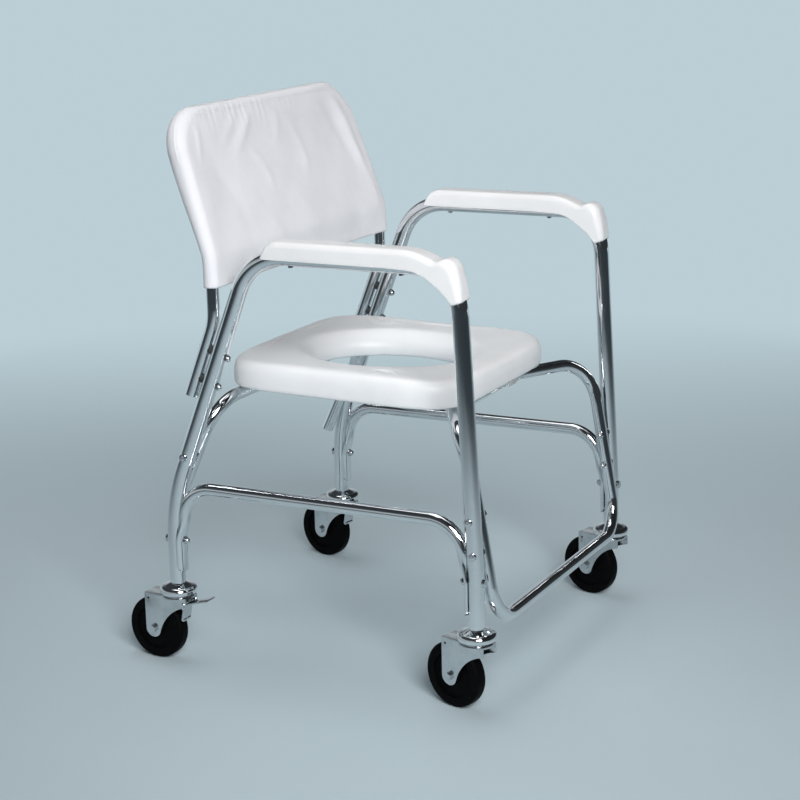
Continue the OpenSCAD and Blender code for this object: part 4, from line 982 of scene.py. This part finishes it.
class CHAIR_OT_tubes(bpy.types.Operator):
    """Smooths the plated tubes"""
    bl_idname = "chair.tubes"
    bl_label = "Tubes"

    def execute(self, context):
        for node in ("side_frame_right", "side_frame_left", "front_seat_support", "front_foot_bar",
                     "rear_seat_support", "backrest_frame"):
            ease_node(node)
        return {"FINISHED"}


SMALL_PIECES = ("axle", "brake_pin", "caster_mount", "wheel", "seat_clips", "bolt", "screw", "spacer")


class CHAIR_OT_hardware(bpy.types.Operator):
    """Smooths bolts, spacers, clips and casters"""
    bl_idname = "chair.hardware"
    bl_label = "Hardware and casters"

    def execute(self, context):
        for node in frame["nodes"]:
            if node.startswith(("fork", "brake_pedal")):
                ease_node(node, PRESSED_EDGE)
            elif any(word in node for word in SMALL_PIECES):
                ease_node(node)
        return {"FINISHED"}


class CHAIR_OT_stretchers(bpy.types.Operator):
    """Builds the side stretchers, whose ends are pressed into saddles round the legs"""
    bl_idname = "chair.stretchers"
    bl_label = "Stretchers"

    def execute(self, context):
        for name, side in SIDES.items():
            mesh = stretcher_mesh(settings("chair_frame"), settings("chair_stretcher"), side)
            dress(mesh_piece("pressed_stretcher_" + name, *mesh), "chrome_tube", "stretcher_" + name)
        return {"FINISHED"}


class CHAIR_OT_sleeve(bpy.types.Operator):
    """Builds the cloth sleeve on the backrest"""
    bl_idname = "chair.sleeve"
    bl_label = "Backrest sleeve"

    def execute(self, context):
        mesh = sleeve_mesh(settings("chair_frame"), settings("chair_sleeve"))
        piece = dress(mesh_piece("cloth_sleeve", *mesh), "sleeve_cloth", "backrest_sleeve")
        return {"FINISHED"}


class CHAIR_OT_seat(bpy.types.Operator):
    """Builds the foam seat with its opening"""
    bl_idname = "chair.seat"
    bl_label = "Seat"

    def execute(self, context):
        mesh = seat_mesh(settings("chair_frame"), settings("chair_seat"))
        piece = dress(mesh_piece("foam_seat", *mesh), "seat_skin", "seat_cushion")
        return {"FINISHED"}


class CHAIR_OT_pads(bpy.types.Operator):
    """Builds the moulded pads on the arms"""
    bl_idname = "chair.pads"
    bl_label = "Arm pads"

    def execute(self, context):
        for name, side in SIDES.items():
            mesh = pad_mesh(settings("chair_frame"), settings("chair_pad"), side)
            dress(mesh_piece("moulded_pad_" + name, *mesh), "pad_plastic", "arm_pad_" + name)
        return {"FINISHED"}


LAMPS = (
    # name, the setting of its power, place, aim, width and the spread of its light in degrees
    ("key_lamp", "key", (-2.42, -2.03, 2.1), (0.0, 0.0, 0.5), 1.5, 75),
    ("top_lamp", "top", (0.2, 0.3, 3.2), (0.0, 0.0, 0.4), 1.8, 90),
)
FLOOR_HALF, FLOOR_LINES, FLOOR_Z = 40, 9, -0.0004  # half width, grid lines a side and height of the floor
FLOOR_DRIFT = (0.97, 0.8)  # share of the floor's colour to which it drifts, and scale of its patches
BACKDROP_WAY = (0.887, 0.461, 0.0)  # the way from the chair to the backdrop
BEHIND, AROUND = (-0.2, 2.6), (0.9, 2.6)  # distances over which the floor turns into the backdrop
HORIZON, OVERHEAD, DIM = (0.80, 0.88, 0.92), (0.07, 0.08, 0.09), (0.03, 0.033, 0.036)  # colours of the sky
SKY_RISE, SKY_POWER = (0.18, 0.50), 0.55  # heights between which the sky dims, and its strength
DIM_X, DIM_Y = 0.25, -0.97  # the way to the dim side
DIM_SPAN, DIM_MOST = (-0.25, 0.3), 0.96  # shares of that way over which it sets in, and how dim it gets
SENSOR, CLIP = 36.0, (0.05, 200.0)  # the camera's sensor in millimetres, and how near and far it sees


def stand(o, right, up, back, place):
    """Puts an object at the place, with its three axes given."""
    m = np.eye(4)
    m[:3, 0], m[:3, 1], m[:3, 2], m[:3, 3] = right, up, back, place
    o.matrix_world = Matrix(m.tolist())


class CHAIR_OT_stage(bpy.types.Operator):
    """Sets out the floor, the soft lamps, the sky of the studio and the camera"""
    bl_idname = "chair.stage"
    bl_label = "Stage"

    def execute(self, context):
        t = settings("chair_stage")
        self.floor(settings("chair_colours"))
        for name, power, *rest in LAMPS:
            self.lamp(name, getattr(t, power), *rest)
        self.studio(settings("chair_colours"))
        self.camera(t)
        context.scene.view_settings.view_transform = "Standard"
        return {"FINISHED"}

    def floor(self, c):
        """A plain level grid."""
        x, y = np.meshgrid(*[np.linspace(-FLOOR_HALF, FLOOR_HALF, FLOOR_LINES)] * 2)
        mesh = bpy.data.meshes.new("floor")
        points = np.stack([x, y, np.full_like(x, FLOOR_Z)], -1).reshape(-1, 3)
        mesh.from_pydata(points.tolist(), [], quads(FLOOR_LINES, FLOOR_LINES, False).tolist())
        floor = link_object("floor", mesh)
        f = Finish("floor_paper", Roughness=0.9, Specular_IOR_Level=0.15)
        f.set(Base_Color=f.drift(c.floor, *FLOOR_DRIFT))
        self.fade(f, c)
        mesh.materials.append(f.material)

    def fade(self, f, c):
        """Turns the floor into an evenly pale backdrop: for mirror images behind the chair, where the mask
        rises with the distance along the way that the backdrop lies, and for the camera all round it."""
        tree = f.tree
        at = object_coordinates(tree)
        behind = self.reach(tree, "DOT_PRODUCT", at, BEHIND)
        around = math_node(tree, "MAXIMUM", behind, self.reach(tree, "LENGTH", at, AROUND))
        ray = tree.nodes.new("ShaderNodeLightPath").outputs
        mirrored = math_node(tree, "MAXIMUM", ray["Is Glossy Ray"], ray["Is Transmission Ray"])
        mask = math_node(tree, "MAXIMUM", product(tree, behind, mirrored),
                         product(tree, around, ray["Is Camera Ray"]))
        glow = tree.nodes.new("ShaderNodeEmission")
        feed_all(tree, glow, Color=rgba(c.backdrop))
        mixed_shaders(tree, mask, f.bsdf.outputs[0], glow.outputs[0], "Material Output")

    def reach(self, tree, how, at, span):
        """0 before the span of distances and 1 past it; the distance is the length of at, or its part
        along the way that the backdrop lies."""
        n = tree.nodes.new("ShaderNodeVectorMath")
        n.operation = how
        feed(tree, at, n.inputs[0])
        feed(tree, BACKDROP_WAY, n.inputs[1])
        return between(tree, n.outputs["Value"], span, 0.0, 1.0)

    def lamp(self, name, power, place, aim, width, spread):
        """A square soft lamp at place that faces aim, its light kept within the spread."""
        data = bpy.data.lights.new(name, "AREA")
        data.shape, data.size, data.energy = "SQUARE", width, power
        data.spread = math.radians(spread)
        back = np.array(place) - np.array(aim)
        back /= np.linalg.norm(back)
        right = np.cross((0.0, 0.0, 1.0), back)
        right /= np.linalg.norm(right)
        stand(link_object(name, data), right, np.cross(back, right), back, place)

    def studio(self, c):
        """Sky of the studio: pale round the horizon and dim above, with a dim side in front, and the even
        backdrop where the camera looks past the floor."""
        world = bpy.data.worlds.new("studio")
        bpy.context.scene.world = world
        world.use_nodes = True
        tree = world.node_tree
        parts = tree.nodes.new("ShaderNodeSeparateXYZ")
        tree.links.new(tree.nodes.new("ShaderNodeTexCoord").outputs["Generated"], parts.inputs[0])
        high = between(tree, parts.outputs["Z"], SKY_RISE, 0.0, 1.0)
        aside = math_node(tree, "ADD", product(tree, parts.outputs["X"], DIM_X),
                          product(tree, parts.outputs["Y"], DIM_Y))
        dim = between(tree, aside, DIM_SPAN, 0.0, DIM_MOST)
        colour = mixed(tree, dim, mixed(tree, high, rgba(HORIZON), rgba(OVERHEAD)), rgba(DIM))
        sky, plain = tree.nodes["Background"], tree.nodes.new("ShaderNodeBackground")
        feed_all(tree, sky, Color=colour, Strength=SKY_POWER)
        feed_all(tree, plain, Color=rgba(c.backdrop))
        seen = tree.nodes.new("ShaderNodeLightPath").outputs["Is Camera Ray"]
        mixed_shaders(tree, seen, sky.outputs[0], plain.outputs[0], "World Output")

    def camera(self, t):
        """The photo's camera: it looks back along its azimuth and elevation, and is rolled about that
        way."""
        data = bpy.data.cameras.new("photo_camera")
        data.lens, data.sensor_width = t.lens, SENSOR
        data.clip_start, data.clip_end = CLIP
        a, e, r = t.azimuth, t.elevation, t.roll
        back = np.array([math.sin(a) * math.cos(e), -math.cos(a) * math.cos(e), math.sin(e)])
        level = np.array([math.cos(a), math.sin(a), 0.0])
        rise = np.cross(back, level)
        right = math.cos(r) * level + math.sin(r) * rise
        up = -math.sin(r) * level + math.cos(r) * rise
        camera = link_object("photo_camera", data)
        stand(camera, right, up, back, tuple(t.place))
        bpy.context.scene.camera = camera


class CHAIR_PT_sidebar(bpy.types.Panel):
    """Lists the chair's pieces and sizes"""
    bl_idname = "CHAIR_PT_sidebar"
    bl_label = "Commode chair"
    bl_space_type = "VIEW_3D"
    bl_region_type = "UI"
    bl_category = "Chair"

    def draw(self, context):
        for operator in OPERATORS:
            self.layout.operator(operator.bl_idname)
        for name, group in GROUPS.items():
            box = self.layout.box()
            box.label(text=group.__doc__)
            for prop in group.__annotations__:
                box.prop(getattr(context.scene, name), prop)


OPERATORS = (CHAIR_OT_finishes, CHAIR_OT_tubes, CHAIR_OT_hardware, CHAIR_OT_stretchers, CHAIR_OT_sleeve,
             CHAIR_OT_seat, CHAIR_OT_pads, CHAIR_OT_stage)
CLASSES = (*GROUPS.values(), *OPERATORS, CHAIR_PT_sidebar)


def register():
    """Makes the classes and the groups of settings known to Blender."""
    for c in CLASSES:
        bpy.utils.register_class(c)
    for name, group in GROUPS.items():
        setattr(bpy.types.Scene, name, PointerProperty(type=group))


def unregister():
    """Takes them out again."""
    for name in GROUPS:
        delattr(bpy.types.Scene, name)
    for c in reversed(CLASSES):
        bpy.utils.unregister_class(c)


def main():
    """Builds the chair by its operators."""
    register()
    for operator in OPERATORS:
        space, name = operator.bl_idname.split(".")
        getattr(getattr(bpy.ops, space), name)()
    bpy.context.view_layer.update()


if __name__ == "__main__":
    main()
